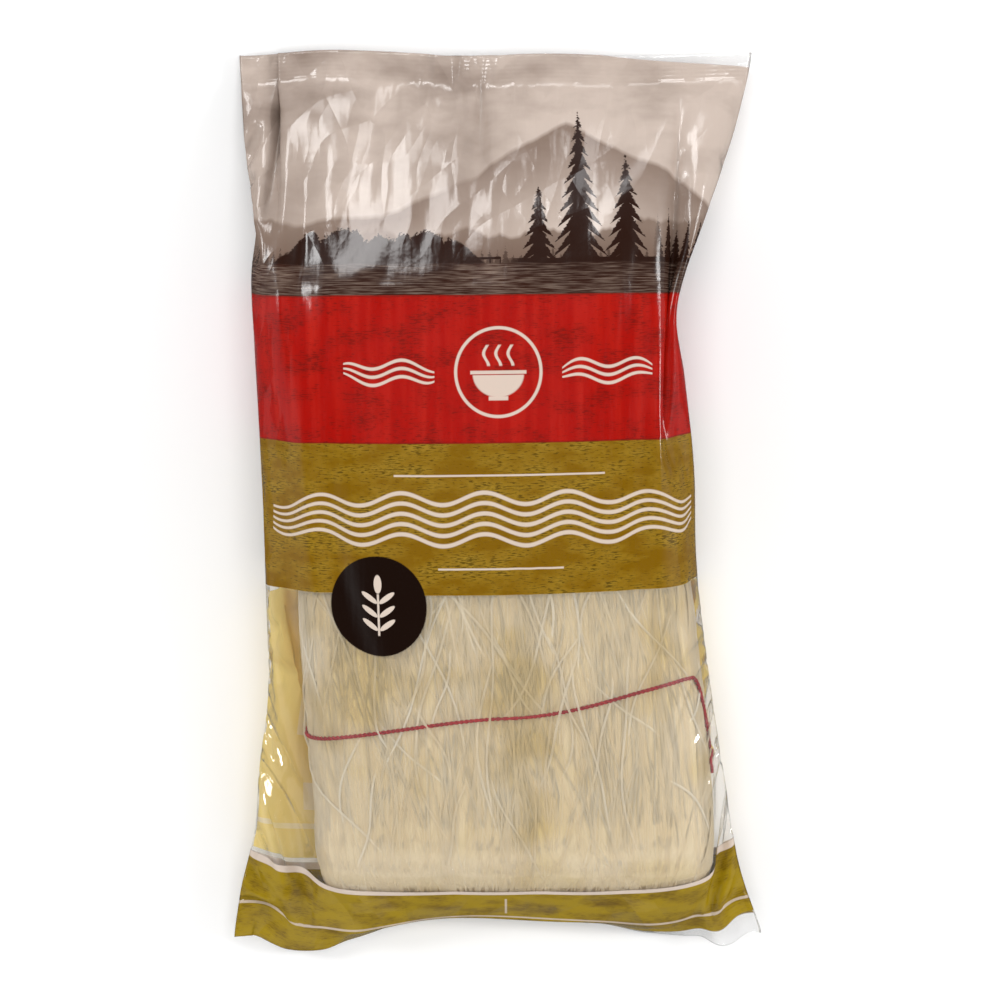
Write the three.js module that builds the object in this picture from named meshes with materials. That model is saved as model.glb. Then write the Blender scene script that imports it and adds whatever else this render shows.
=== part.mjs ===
// A sealed pillow bag of glass noodles, lying on its back with the printed front up.
// Millimetres. +X is to the right and +Y to the top of the print, +Z is up from the surface
// that the bag lies on. The origin is on that surface, under the middle of the bag.
//
// The bag is one tube of film, pressed flat and sealed across both ends. The noodle bundle fills
// its lower four fifths, so the film is round and taut there, runs down to the upper seal as a
// long slack wedge, and turns over the bundle's lower end in a short steep one. Where the film
// lies flat it is at its full width, so all four corners flare out as ears. The fin beyond the
// lower seal is folded down under the middle of the bag and sticks out straight at its corners.
import * as THREE from "three";

// Driving sizes. The length is the one along the middle: the lower ears reach 2 to 3 mm further.
const BAG_LENGTH = 298;
const FILM_THICKNESS = 1.6;
const LOWER_FIN = 12.5;
const UPPER_FIN = 9;
// The folded lower fin takes up only this much of the bag's length in the middle of its end.
const LOWER_FIN_LENGTH = 6.2;

const TOP = BAG_LENGTH / 2;
const BOTTOM = -BAG_LENGTH / 2;
const UPPER_SEAL = TOP - UPPER_FIN;
const LOWER_SEAL = BOTTOM + LOWER_FIN_LENGTH;

// The shapes below are lists of [place, value] pairs, and places are heights along the bag.
// Outline seen from above: how far the left and the right edge lie from the middle line.
const LEFT_EDGE = [
  [BOTTOM, -90],
  [-128, -86.5],
  [-112, -82.6],
  [-85, -80],
  [-70, -77.8],
  [-10, -77.5],
  [20, -78.6],
  [56, -80.4],
  [80, -81.2],
  [92, -80],
  [114, -83],
  [TOP, -85.8],
];
const RIGHT_EDGE = [
  [BOTTOM, 89.5],
  [-128, 81.8],
  [-92, 75],
  [-51, 68.7],
  [-15, 64.6],
  [16, 63.6],
  [45, 60.4],
  [70, 57.6],
  [82, 60.8],
  [96, 66.3],
  [121, 75.6],
  [TOP, 83],
];
// Levels above the surface of the front and of the back along the middle of the bag, and of the
// two side edges, where front and back meet.
const FRONT_LEVEL = [
  [LOWER_SEAL, 15],
  [-134, 23],
  [-126, 33.5],
  [-117, 42.6],
  [-106, 46.6],
  [-66, 48.8],
  [-10, 50],
  [45, 49],
  [68, 47],
  [90, 40.6],
  [106, 33.5],
  [122, 24],
  [UPPER_SEAL, 12.2],
  [TOP, 10],
];
const BACK_LEVEL = [
  [LOWER_SEAL, 13.4],
  [-134, 11],
  [-124, 5],
  [-112, 1],
  [-98, 0],
  [98, 0],
  [112, 1.6],
  [128, 5],
  [UPPER_SEAL, 9.6],
  [TOP, 8.6],
];
const EDGE_LEVEL = [
  [LOWER_SEAL, 14],
  [-118, 18],
  [-90, 21],
  [60, 21],
  [100, 17],
  [UPPER_SEAL, 11.4],
  [TOP, 9.6],
];
// Across the bag, from -1 at the left edge to 1 at the right one: the place of the lower seal's
// line along the bag, and how far the fin beyond it is folded down, in degrees.
const SEAL_LINE = [
  [-1, -136],
  [-0.885, -137],
  [-0.83, -140.4],
  [-0.785, -143.3],
  [-0.65, -144.8],
  [-0.53, -146.5],
  [-0.44, -145],
  [-0.3, -142.8],
  [0.26, -142.8],
  [0.43, -143.5],
  [0.59, -144.5],
  [0.7, -142.8],
  [0.76, -140.7],
  [0.86, -140],
  [0.93, -135],
  [1, -134],
];
const FIN_FOLD = [
  [-1, 8],
  [-0.96, 22],
  [-0.88, 45],
  [-0.76, 59],
  [-0.65, 62],
  [-0.56, 80],
  [-0.44, 85],
  [0.43, 84],
  [0.53, 79],
  [0.63, 74],
  [0.755, 62],
  [0.85, 30],
  [1, 8],
];

// The cross-section: how square its outline is where the bag is flat and where it is full, and
// the depths at which it counts as flat and as full.
const ROUNDNESS = 2.2;
const FLAT_POWER = 1;
const FULL_POWER = 0.36;
const FLAT_DEPTH = 2;
const FULL_DEPTH = 44;
// The seal's bends fade out at this height, and nothing of the bag lies lower than FLOOR.
const BEND_END = -106;
const FLOOR = 0;
// The flat ends wave a little across the bag: one long wave, and a shorter one that is lower and
// out of step with it.
const LONG_WAVE = 9.5;
const LONG_WAVE_HEIGHT = 0.7;
const SHORT_WAVE = 5.3;
const SHORT_WAVE_HEIGHT = 0.42;
const SHORT_WAVE_SHIFT = 2;

// A smooth curve through [place, value] pairs: cubic pieces whose slopes are those of the
// neighbouring pairs.
function curveThrough(pairs) {
  const slope = (i) => {
    const a = pairs[Math.max(i - 1, 0)];
    const b = pairs[Math.min(i + 1, pairs.length - 1)];
    return (b[1] - a[1]) / (b[0] - a[0]);
  };
  return (place) => {
    let i = 0;
    while (i < pairs.length - 2 && place > pairs[i + 1][0]) i += 1;
    const [x0, y0] = pairs[i];
    const [x1, y1] = pairs[i + 1];
    const span = x1 - x0;
    const t = THREE.MathUtils.clamp((place - x0) / span, 0, 1);
    const t2 = t * t;
    const t3 = t2 * t;
    return (
      (2 * t3 - 3 * t2 + 1) * y0 +
      (t3 - 2 * t2 + t) * span * slope(i) +
      (3 * t2 - 2 * t3) * y1 +
      (t3 - t2) * span * slope(i + 1)
    );
  };
}

const leftAt = curveThrough(LEFT_EDGE);
const rightAt = curveThrough(RIGHT_EDGE);
const frontAt = curveThrough(FRONT_LEVEL);
const backAt = curveThrough(BACK_LEVEL);
const edgeAt = curveThrough(EDGE_LEVEL);
const sealAt = curveThrough(SEAL_LINE);
const foldAt = curveThrough(FIN_FOLD);

// Folds of the slack film: each is a soft ridge, or a groove where its height is negative, along
// a straight line between two points of the front.
const FRONT_FOLDS = [
  { from: [78, 118], to: [50, 64], halfWidth: 5, height: 3.2 },
  { from: [70, 70], to: [44, 92], halfWidth: 5, height: -2.6 },
  { from: [-60, 142], to: [-56, 84], halfWidth: 6, height: 2.4 },
  { from: [-82, -112], to: [-52, -132], halfWidth: 6, height: -2.6 },
  { from: [-79, -62], to: [-66, -110], halfWidth: 5, height: -2.2 },
  { from: [84, -126], to: [60, -112], halfWidth: 5, height: -2 },
  { from: [-30, 146], to: [-34, 112], halfWidth: 6, height: -2 },
  { from: [14, 146], to: [10, 116], halfWidth: 7, height: 2 },
  { from: [-77, 30], to: [-70, -4], halfWidth: 4, height: -1.8 },
];

function foldHeight(x, y) {
  let height = 0;
  for (const fold of FRONT_FOLDS) {
    const [ax, ay] = fold.from;
    const [bx, by] = fold.to;
    const dx = bx - ax;
    const dy = by - ay;
    const along = ((x - ax) * dx + (y - ay) * dy) / (dx * dx + dy * dy);
    const t = THREE.MathUtils.clamp(along, 0, 1);
    const off = Math.hypot(x - ax - t * dx, y - ay - t * dy) / fold.halfWidth;
    const fade = 1 - Math.abs(2 * t - 1) ** 3;
    height += fold.height * fade * Math.exp(-off * off);
  }
  return height;
}

function waveAt(x, strength) {
  const long = LONG_WAVE_HEIGHT * Math.sin(x / LONG_WAVE);
  const short = SHORT_WAVE_HEIGHT * Math.sin(x / SHORT_WAVE + SHORT_WAVE_SHIFT);
  return strength * (long + short);
}

// One point of the film. across runs from -1 at the left edge to 1 at the right one, y is the
// place along the bag before the seal's bends, and side is 1 on the front and -1 on the back.
// Rows below LOWER_SEAL are the fin: y then says how far past the seal the point lies.
function filmPoint(across, y, side) {
  const bodyY = Math.max(y, LOWER_SEAL);
  const fade = 1 - THREE.MathUtils.smoothstep(y, LOWER_SEAL, BEND_END);
  const bend = (sealAt(across) - LOWER_SEAL) * fade;
  const left = leftAt(y);
  const right = rightAt(y);
  const x = (left + right) / 2 + (across * (right - left)) / 2;
  const edge = edgeAt(bodyY);
  const level = side > 0 ? frontAt(bodyY) : backAt(bodyY);
  const depth = frontAt(bodyY) - backAt(bodyY);
  const fullness = THREE.MathUtils.smoothstep(depth, FLAT_DEPTH, FULL_DEPTH);
  const power = THREE.MathUtils.lerp(FLAT_POWER, FULL_POWER, fullness);
  const bulge = (1 - Math.abs(across) ** ROUNDNESS) ** power;
  let z = edge + (level - edge) * bulge + (side * FILM_THICKNESS) / 2;
  z += waveAt(x, (1 - fullness) ** 2);
  if (side > 0) z += foldHeight(x, y);
  if (y >= LOWER_SEAL) return [x, y + bend, Math.max(z, FLOOR)];
  const fold = THREE.MathUtils.degToRad(foldAt(across));
  const reach = (LOWER_FIN * (LOWER_SEAL - y)) / (LOWER_SEAL - BOTTOM);
  // The fin's two faces stay a film's thickness apart, also where it is folded down.
  const fin = z - reach * Math.sin(fold);
  const lowest = side > 0 ? FLOOR + FILM_THICKNESS : FLOOR;
  const proud = (side * FILM_THICKNESS * Math.sin(fold)) / 2;
  return [x, LOWER_SEAL + bend - reach * Math.cos(fold) - proud, Math.max(fin, lowest)];
}

// Rows along the bag are closest in its steep lower end.
const ROWS_FIN = 4;
const ROWS_LOWER = 12;
const ROWS_BODY = 26;
const ROWS_UPPER = 14;
const COLUMNS = 34;
const BODY_START = -100;
const BODY_END = 72;

function spread(from, to, count) {
  return Array.from({ length: count }, (_, i) => from + ((to - from) * i) / count);
}

const ROW_PLACES = [
  ...spread(BOTTOM, LOWER_SEAL, ROWS_FIN),
  ...spread(LOWER_SEAL, BODY_START, ROWS_LOWER),
  ...spread(BODY_START, BODY_END, ROWS_BODY),
  ...spread(BODY_END, TOP, ROWS_UPPER),
  TOP,
];

// Columns are closer towards the two edges, where the film turns round.
const columnAt = (i) => -Math.cos((Math.PI * i) / COLUMNS);

function bagGeometry() {
  const positions = [];
  const indices = [];
  const ring = 2 * (COLUMNS + 1);
  for (const y of ROW_PLACES) {
    for (let i = 0; i <= COLUMNS; i += 1) positions.push(...filmPoint(columnAt(i), y, 1));
    for (let i = COLUMNS; i >= 0; i -= 1) positions.push(...filmPoint(columnAt(i), y, -1));
  }
  for (let row = 0; row < ROW_PLACES.length - 1; row += 1) {
    for (let i = 0; i < ring; i += 1) {
      const a = row * ring + i;
      const b = row * ring + ((i + 1) % ring);
      indices.push(a, b, b + ring, a, b + ring, a + ring);
    }
  }
  // The film's two cut ends are narrow strips between the front and the back.
  const last = (ROW_PLACES.length - 1) * ring;
  for (let i = 0; i < COLUMNS; i += 1) {
    const back = ring - 1 - i;
    indices.push(i, back, back - 1, i, back - 1, i + 1);
    indices.push(last + i, last + back - 1, last + back, last + i, last + i + 1, last + back - 1);
  }
  const geometry = new THREE.BufferGeometry();
  geometry.setAttribute("position", new THREE.Float32BufferAttribute(positions, 3));
  geometry.setIndex(indices);
  geometry.computeVertexNormals();
  return geometry;
}

const pack = new THREE.Group();

const bag = new THREE.Mesh(
  bagGeometry(),
  new THREE.MeshStandardMaterial({ color: 0xa58a3a, roughness: 0.25, metalness: 0 }),
);
bag.name = "bag";
pack.add(bag);

export default pack;
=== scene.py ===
"""Sealed film pack of dry glass noodles, lying on its back: the film, its print and what is inside.

Everything is in metres in the part's own frame: +X to the right of the print, +Y to its top and
+Z up from the surface that the pack lies on. The film is one tube of sheet, and its own two
coordinates are used all through: `a`, the distance round the tube from its left fold (the front
is the first half of the way round), and `v`, the distance along it from its lower cut end.
"""

import math

import bpy
import numpy as np
from bpy.props import FloatProperty, FloatVectorProperty, IntProperty, PointerProperty
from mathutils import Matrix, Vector


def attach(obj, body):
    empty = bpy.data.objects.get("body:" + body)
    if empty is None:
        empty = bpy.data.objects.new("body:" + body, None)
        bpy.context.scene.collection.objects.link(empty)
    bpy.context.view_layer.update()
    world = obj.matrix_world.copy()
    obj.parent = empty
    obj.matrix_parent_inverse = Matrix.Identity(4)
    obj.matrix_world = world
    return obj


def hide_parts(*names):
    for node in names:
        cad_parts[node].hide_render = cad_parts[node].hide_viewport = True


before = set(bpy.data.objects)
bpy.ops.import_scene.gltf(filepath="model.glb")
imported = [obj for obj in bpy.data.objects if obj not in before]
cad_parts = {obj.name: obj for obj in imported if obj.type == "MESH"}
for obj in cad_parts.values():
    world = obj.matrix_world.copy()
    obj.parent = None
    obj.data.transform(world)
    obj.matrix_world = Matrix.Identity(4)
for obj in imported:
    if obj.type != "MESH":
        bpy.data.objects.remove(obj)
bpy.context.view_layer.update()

bl_info = {
    "name": "Glass noodle pack",
    "version": (1, 0, 0),
    "blender": (4, 5, 0),
    "location": "3D View > Sidebar > Noodle Pack",
    "description": "Builds a sealed film pack of glass noodles with its tie thread, and a stage",
    "category": "Add Mesh",
}

MM = 0.001
PACK_LENGTH = 298 * MM
HALF_LENGTH = PACK_LENGTH / 2
# The lowest level that the film's mesh may take: it lies on the surface.
REST = 0.6 * MM


# ---------------------------------------------------------------- curves and small helpers


def linear(red, green, blue):
    """A colour given as 0 to 255 for a screen, as the linear values that Blender works in."""
    shares = np.array([red, green, blue]) / 255
    return tuple(np.where(shares <= 0.04045, shares / 12.92, ((shares + 0.055) / 1.055) ** 2.4))


def through(pairs):
    """A smooth curve through (place, value) pairs in millimetres, as a function of metres.

    Each stretch is the cubic that has the pairs' values at its ends, and there the slopes that
    the neighbouring pairs give.
    """
    places, values = np.array(pairs, float).T * MM
    slopes = np.gradient(values, places)

    def curve(place):
        place = np.clip(place, places[0], places[-1])
        i = np.clip(np.searchsorted(places, place, side="right") - 1, 0, len(places) - 2)
        span = places[i + 1] - places[i]
        t = (place - places[i]) / span
        t2, t3 = t * t, t * t * t
        start = (2 * t3 - 3 * t2 + 1) * values[i] + (t3 - 2 * t2 + t) * span * slopes[i]
        return start + (3 * t2 - 2 * t3) * values[i + 1] + (t3 - t2) * span * slopes[i + 1]

    return curve


def smoothstep(x, low, high):
    """0 below low, 1 above high, and 3t^2 - 2t^3 between them."""
    t = np.clip((x - low) / (high - low), 0, 1)
    return t * t * (3 - 2 * t)


def unit(vectors):
    """Vectors of length one along the last axis."""
    return vectors / (np.linalg.norm(vectors, axis=-1, keepdims=True) + 1e-12)


# ---------------------------------------------------------------- settings


def length(name, description, default):
    """A property that holds a length."""
    return FloatProperty(name=name, description=description, default=default, unit="LENGTH")


def colour(name, description, default):
    """A property that holds a colour, given as 0 to 255 for a screen."""
    return FloatVectorProperty(
        name=name, description=description, default=linear(*default), subtype="COLOR", size=3
    )


class FilmSizes(bpy.types.PropertyGroup):
    """Sizes of the film tube before it is filled."""

    width: length("Flat width", "Width of the empty tube laid flat", 178.5 * MM)
    length: length("Film length", "Length of the tube from cut end to cut end", 317 * MM)
    lower_seal: length("Lower seal", "Width of the bond across the lower end", 12.5 * MM)
    upper_seal: length("Upper seal", "Width of the bond across the upper end", 9 * MM)
    gap: length("Seal thickness", "Distance between front and back where they are bonded", 0.4 * MM)
    seed: IntProperty(name="Crumple seed", description="Changes the small crumples", default=5)


class PrintLayout(bpy.types.PropertyGroup):
    """Where the print's fields begin and end along the film, measured from its lower end."""

    stripe: length("Pale stripe", "Lower side of the pale stripe under the window", 32.2 * MM)
    window: length("Window", "Lower side of the clear window", 34.5 * MM)
    olive: length("Olive band", "Lower side of the olive band", 138.7 * MM)
    red: length("Red band", "Lower side of the red band", 187 * MM)
    picture: length("Picture", "Lower side of the lake picture", 234 * MM)
    shore: length("Shore", "Level of the shoreline in the lake picture", 244 * MM)
    disc_across: length("Disc across", "Distance of the dark disc from the left fold", 53.6 * MM)
    disc_along: length("Disc along", "Distance of the dark disc from the lower end", 135 * MM)
    disc_radius: length("Disc radius", "Radius of the dark disc", 16.2 * MM)


class PrintColours(bpy.types.PropertyGroup):
    """Inks of the print."""

    red: colour("Red", "Red band", (158, 12, 4))
    olive: colour("Olive", "Olive band", (120, 86, 4))
    khaki: colour("Khaki", "Olive strip under the window", (152, 126, 18))
    pale: colour("Pale", "Pale stripes and ornaments", (208, 192, 178))
    disc: colour("Disc", "Round dark mark", (22, 9, 4))
    panel: colour("Panel", "Yellow panel on the back", (243, 219, 136))
    sky: colour("Sky", "Sky of the lake picture", (190, 174, 163))
    cloud: colour("Cloud", "Shaded side of the clouds", (128, 111, 100))
    hill: colour("Hill", "Far hills", (127, 108, 96))
    mist: colour("Mist", "Hills close to the water", (108, 87, 75))
    trees: colour("Trees", "Trees and islet", (40, 21, 14))
    water: colour("Water", "Lake", (56, 30, 21))


class NoodleSizes(bpy.types.PropertyGroup):
    """The bundle of noodles inside."""

    half_width: length("Half width", "Half the width of the bundle", 66.5 * MM)
    radius: length("Strand radius", "Radius of one strand", 0.4 * MM)
    lengthwise: IntProperty(name="Long strands", description="Strands along it", default=1450)
    crossing: IntProperty(name="Crossing strands", description="Stray strands", default=380)
    seed: IntProperty(name="Strand seed", description="Changes how the strands lie", default=11)
    strand: colour("Strand", "Colour of a pale strand", (243, 231, 204))
    shade: colour("Shaded strand", "Colour of a darker strand", (236, 218, 182))
    # The stray colour is a lighter copy of the strand colour: painted light on the strands that lie
    # on top.
    stray: colour("Stray strand", "Colour of a strand that lies over the others", (255, 250, 234))
    # The core colour is darker than the strands', partly as painted shade in the gaps between them.
    core: colour("Core", "Colour between the strands", (212, 193, 155))
    # Painted light: the yellow of the back print that shines through the bundle, painted into the
    # noodles in patches.
    yellow: colour("Yellow", "Colour of the clearer, yellower patches", (206, 182, 122))


class ThreadSizes(bpy.types.PropertyGroup):
    """The thread that ties the bundle."""

    ply_radius: length("Ply radius", "Radius of each of the two plies", 0.36 * MM)
    pitch: length("Twist", "Length in which the plies turn round each other once", 3.2 * MM)
    ink: colour("Thread", "Colour of the thread", (204, 14, 16))


class StageSizes(bpy.types.PropertyGroup):
    """The camera's place over the pack, and the lights' strength."""

    distance: length("Distance", "From the camera to the middle of the pack", 1.6)
    tilt: FloatProperty(
        name="Tilt",
        description="How far the camera stands over from upright, towards the print's top",
        default=math.radians(10),
        unit="ROTATION",
    )
    pixel: length("Pixel", "Size of one of 1000 pixels at the pack", 0.33 * MM)
    side_lights: FloatProperty(name="Side lights", description="Power of each", default=8.0, min=0)
    end_light: FloatProperty(name="End light", description="Power of the one behind", default=5)
    front_light: FloatProperty(name="Front light", description="Power of the low one", default=5)
    gleam_light: FloatProperty(name="Gleam", description="Power for the folds' shine", default=15)
    top_light: FloatProperty(name="Top light", description="Power of the one overhead", default=32)
    walls: FloatProperty(name="Wall light", description="Light from all round", default=0.72)
    ceiling: FloatProperty(name="Ceiling light", description="Light from overhead", default=0.08)
    underside: FloatProperty(name="Underside", description="Share of it below", default=0.25)


class PackSettings(bpy.types.PropertyGroup):
    """All settings of the pack."""

    film: PointerProperty(type=FilmSizes)
    layout: PointerProperty(type=PrintLayout)
    inks: PointerProperty(type=PrintColours)
    noodles: PointerProperty(type=NoodleSizes)
    thread: PointerProperty(type=ThreadSizes)
    stage: PointerProperty(type=StageSizes)


# ---------------------------------------------------------------- meshes


def build_piece(name, points, faces, corner_uvs, material, normals=None):
    """Makes a piece from whole arrays: points (n, 3), and for each array of faces (m, corners)
    an array of UVs (m, corners, 2). Normals (n, 3) are given where the piece is shaded softer
    than its form. It rides on the pack and replaces the CAD's bag."""
    mesh = bpy.data.meshes.new(name)
    points = np.asarray(points, np.float32).reshape(-1, 3)
    corners = np.concatenate([f.reshape(-1) for f in faces]).astype(np.int32)
    sizes = np.concatenate([np.full(len(f), f.shape[1]) for f in faces])
    starts = np.concatenate([[0], np.cumsum(sizes)[:-1]]).astype(np.int32)
    mesh.vertices.add(len(points))
    mesh.vertices.foreach_set("co", points.reshape(-1))
    mesh.loops.add(len(corners))
    mesh.loops.foreach_set("vertex_index", corners)
    mesh.polygons.add(len(sizes))
    mesh.polygons.foreach_set("loop_start", starts)
    mesh.polygons.foreach_set("use_smooth", np.ones(len(sizes), bool))
    mesh.update(calc_edges=True)
    uvs = np.concatenate([uv.reshape(-1) for uv in corner_uvs]).astype(np.float32)
    mesh.uv_layers.new(name="sheet").data.foreach_set("uv", uvs)
    mesh.materials.append(material)
    mesh.validate()
    if normals is not None:
        mesh.normals_split_custom_set_from_vertices(normals.reshape(-1, 3))
    piece = bpy.data.objects.new(name, mesh)
    bpy.context.scene.collection.objects.link(piece)
    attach(piece, "root")
    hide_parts("bag")
    return piece


def tubes(paths, outward, radius, sides, closed=False):
    """Round tubes along paths (n, steps, 3), as points and faces.

    A ring of `sides` points stands round each step: radius * (cos(t) * outward + sin(t) *
    (tangent x outward)), where outward is made square to the path's tangent. A closed path
    joins its last ring to its first, and an open one gets a flat cap at each end.
    """
    count, steps = paths.shape[:2]
    if closed:
        tangent = unit(np.roll(paths, -1, 1) - np.roll(paths, 1, 1))
    else:
        tangent = unit(np.gradient(paths, axis=1))
    across = np.sum(outward * tangent, -1, keepdims=True)
    outward = unit(outward - across * tangent)
    sideways = np.cross(tangent, outward)
    turn = np.arange(sides) / sides * 2 * np.pi
    radius = np.broadcast_to(radius, (count, steps))[..., None, None]
    cosine, sine = np.cos(turn)[:, None], np.sin(turn)[:, None]
    points = paths[:, :, None] + radius * (cosine * outward[:, :, None] + sine * sideways[:, :, None])
    ring = np.arange(count * steps).reshape(count, steps) * sides
    first = ring if closed else ring[:, :-1]
    second = np.roll(ring, -1, 1) if closed else ring[:, 1:]
    here = np.arange(sides)
    after = (here + 1) % sides
    quads = np.stack(
        [
            first[..., None] + here,
            first[..., None] + after,
            second[..., None] + after,
            second[..., None] + here,
        ],
        -1,
    ).reshape(-1, 4)
    if closed:
        return points, [quads]
    caps = np.concatenate([ring[:, :1] + here[::-1], ring[:, -1:] + here])
    return points, [quads, caps]


def tube_uvs(faces, points_per_tube, sides, tone):
    """UVs for tubes: across the tube's own random tone, and along it the step's number."""
    uvs = []
    for corners in faces:
        tube = corners // points_per_tube
        step = (corners % points_per_tube) // sides
        uvs.append(np.stack([tone[tube], step / 100], -1))
    return uvs


# ---------------------------------------------------------------- the bundle's form

BUNDLE_POWER = 3.0
BUNDLE_LOW = -137 * MM
BUNDLE_HIGH = 98 * MM
# Levels of the bundle's top and underside along its middle, and its half width as a share of
# the full one in thousandths, by the place along the pack. It thins out to a wedge at its lower
# end, where it fills the film down to the seal.
BUNDLE_TOP = [
    (-137, 19.5), (-133, 24.8), (-127, 32.6), (-121, 39), (-115, 43), (-108, 45.2), (-98, 45.8),
    (64, 45.8), (78, 44), (88, 38.5), (95, 30), (98, 24),
]
BUNDLE_UNDER = [
    (-137, 15.5), (-133, 13), (-127, 9.4), (-121, 5.6), (-115, 2.8), (-108, 1), (-98, 0.6),
    (70, 0.6), (82, 3), (91, 9.5), (98, 21),
]
BUNDLE_WIDTH = [
    (-137, 860), (-133, 925), (-127, 965), (-119, 992), (-110, 1000), (-100, 1000), (-70, 1000),
    (-30, 978), (0, 955), (64, 945), (80, 910), (91, 810), (98, 580),
]
# The middle of the bundle from side to side, by the place along the pack.
BUNDLE_CENTRE = [
    (-130, 5.5), (-99, 4.5), (-76, 2.6), (-30, -1.6), (0, -4.2), (40, -7.5), (66, -9.5),
    (110, -10),
]
centre_at = through(BUNDLE_CENTRE)
top_at, under_at = through(BUNDLE_TOP), through(BUNDLE_UNDER)
width_at = through(BUNDLE_WIDTH)


def bundle_section(noodles, y):
    """The bundle's section at y: its half width, its half depth, which long low lumps run
    through, and the level of its middle."""
    top, under = top_at(y), under_at(y)
    lumps = 1 + 0.026 * np.sin(y / (17 * MM) + 1.0)
    return noodles.half_width * width_at(y), (top - under) / 2 * lumps, (top + under) / 2


def bundle_point(noodles, angle, y, inset):
    """A point of the bundle, and the outward direction there.

    The section is a superellipse: x is the half width times cos(angle) to the power 2/3 with
    its sign, and z the half depth times sin(angle) likewise. Inset moves it inwards.
    """
    half_width, half_depth, middle = bundle_section(noodles, y)
    half_width = np.maximum(half_width - inset, 0.1 * MM)
    half_depth = np.maximum(half_depth - inset, 0.1 * MM)
    cosine, sine = np.cos(angle), np.sin(angle)
    share_x = np.sign(cosine) * np.abs(cosine) ** (2 / BUNDLE_POWER)
    share_z = np.sign(sine) * np.abs(sine) ** (2 / BUNDLE_POWER)
    x = centre_at(y) + half_width * share_x
    z = middle + half_depth * share_z
    power = BUNDLE_POWER - 1
    slope_x = np.sign(share_x) * np.abs(share_x) ** power / half_width
    slope_z = np.sign(share_z) * np.abs(share_z) ** power / half_depth
    outward = unit(np.stack([slope_x, 0 * slope_x, slope_z], -1))
    return np.stack([x, y + 0 * x, np.maximum(z, REST + 0.55 * MM)], -1), outward


def angle_at(noodles, way):
    """The angle at a share of the way round the section, counted from +X over the top."""
    angle = np.linspace(0, 2 * np.pi, 2001)
    points, _ = bundle_point(noodles, angle, np.zeros_like(angle), 0)
    steps = np.linalg.norm(np.diff(points, axis=0), axis=-1)
    reached = np.concatenate([[0], np.cumsum(steps)]) / steps.sum()
    return np.interp(np.mod(way, 1), reached, angle), steps.sum()


# ---------------------------------------------------------------- the film's form

# Outline of the filled pack from above, and the levels of its front, back and side edges along
# its middle. They start the film off and then hold its folds; the film finds the rest itself.
LEFT_EDGE = [
    (-149, -90), (-128, -86.5), (-112, -82.6), (-85, -80), (-70, -77.8), (-10, -77.5),
    (20, -78.6), (56, -80.4), (80, -81.2), (92, -80), (114, -83), (149, -85.8),
]
RIGHT_EDGE = [
    (-149, 89.5), (-128, 81.8), (-92, 75), (-51, 68.7), (-15, 64.6), (16, 63.6), (45, 60.4),
    (70, 57.6), (82, 60.8), (96, 66.3), (121, 75.6), (149, 83),
]
FRONT_LEVEL = [
    (-140, 15), (-131, 27), (-120, 39), (-106, 45.5), (-60, 48.5), (20, 49), (68, 47.5),
    (92, 41), (114, 29), (140, 13), (149, 11),
]
BACK_LEVEL = [
    (-140, 12), (-132, 7), (-120, 1.5), (-98, 0.6), (76, 0.6), (98, 2), (118, 6), (140, 10),
    (149, 9),
]
EDGE_LEVEL = [(-140, 14), (-118, 18), (-90, 22), (60, 22), (100, 18), (140, 12), (149, 10.5)]
left_at, right_at = through(LEFT_EDGE), through(RIGHT_EDGE)
front_at, back_at, edge_at = through(FRONT_LEVEL), through(BACK_LEVEL), through(EDGE_LEVEL)

# From side to side, in thousandths of the way from the middle to either side: the place of the
# lower seal's line, and how far the fin beyond it is folded down, in degrees.
LOWER_SEAL_LINE = [
    (-1000, -136), (-885, -137), (-830, -140.4), (-785, -143.3), (-650, -144.8), (-530, -146.5),
    (-440, -145), (-300, -142.8), (260, -142.8), (430, -143.5), (590, -144.5), (700, -142.8),
    (760, -140.7), (860, -140), (930, -135), (1000, -134),
]
FIN_FOLD = [
    (-1000, 8), (-960, 10), (-880, 18), (-760, 34), (-650, 40), (-560, 64), (-440, 74),
    (-100, 78), (430, 74), (530, 68), (630, 62), (755, 44), (850, 18), (1000, 8),
]
# How far the upper cut end lies beyond its mean, from side to side likewise.
UPPER_END_LINE = [
    (-1000, -1.2), (-820, -0.2), (-600, 1.4), (-380, 0.8), (-60, -0.6), (250, 0.2), (560, -0.6),
    (1000, 0.8),
]
FIN_LEVEL = 14 * MM
# The places that the left and right folds reach, by the distance along the film.
LEFT_REACH = [
    (0, -149), (12.5, -137), (32, -118), (138.7, -23), (187, 24.4), (234, 72.7), (308, 140),
    (317, 149),
]
RIGHT_REACH = [
    (0, -149.5), (12.5, -135), (32, -113), (138.7, -21.5), (187, 27.5), (234, 74), (308, 140),
    (317, 149),
]
# First folds of the slack film: from, to, half width and height in millimetres.
FOLDS = [
    ((78, 118), (50, 64), 4, 4.0),
    ((70, 70), (44, 92), 4, -4.0),
    ((84, 140), (57, 72), 4, -3.0),
    ((-60, 146), (-56, 84), 5, 3.4),
    ((-78, 140), (-52, 96), 5, -3.0),
    ((-30, 148), (-34, 112), 5, -2.6),
    ((14, 148), (10, 116), 6, 2.4),
    ((40, 148), (30, 120), 5, -2.0),
    ((-82, -112), (-52, -132), 5, -3.0),
    ((-79, -62), (-66, -110), 4, -2.6),
    ((84, -126), (60, -112), 5, -3.0),
    ((-80, 40), (-66, -4), 3, -3.0),
    ((57, 70), (66, -10), 3, 3.0),
    ((-79, -30), (-70, -52), 3, 2.5),
]
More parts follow.
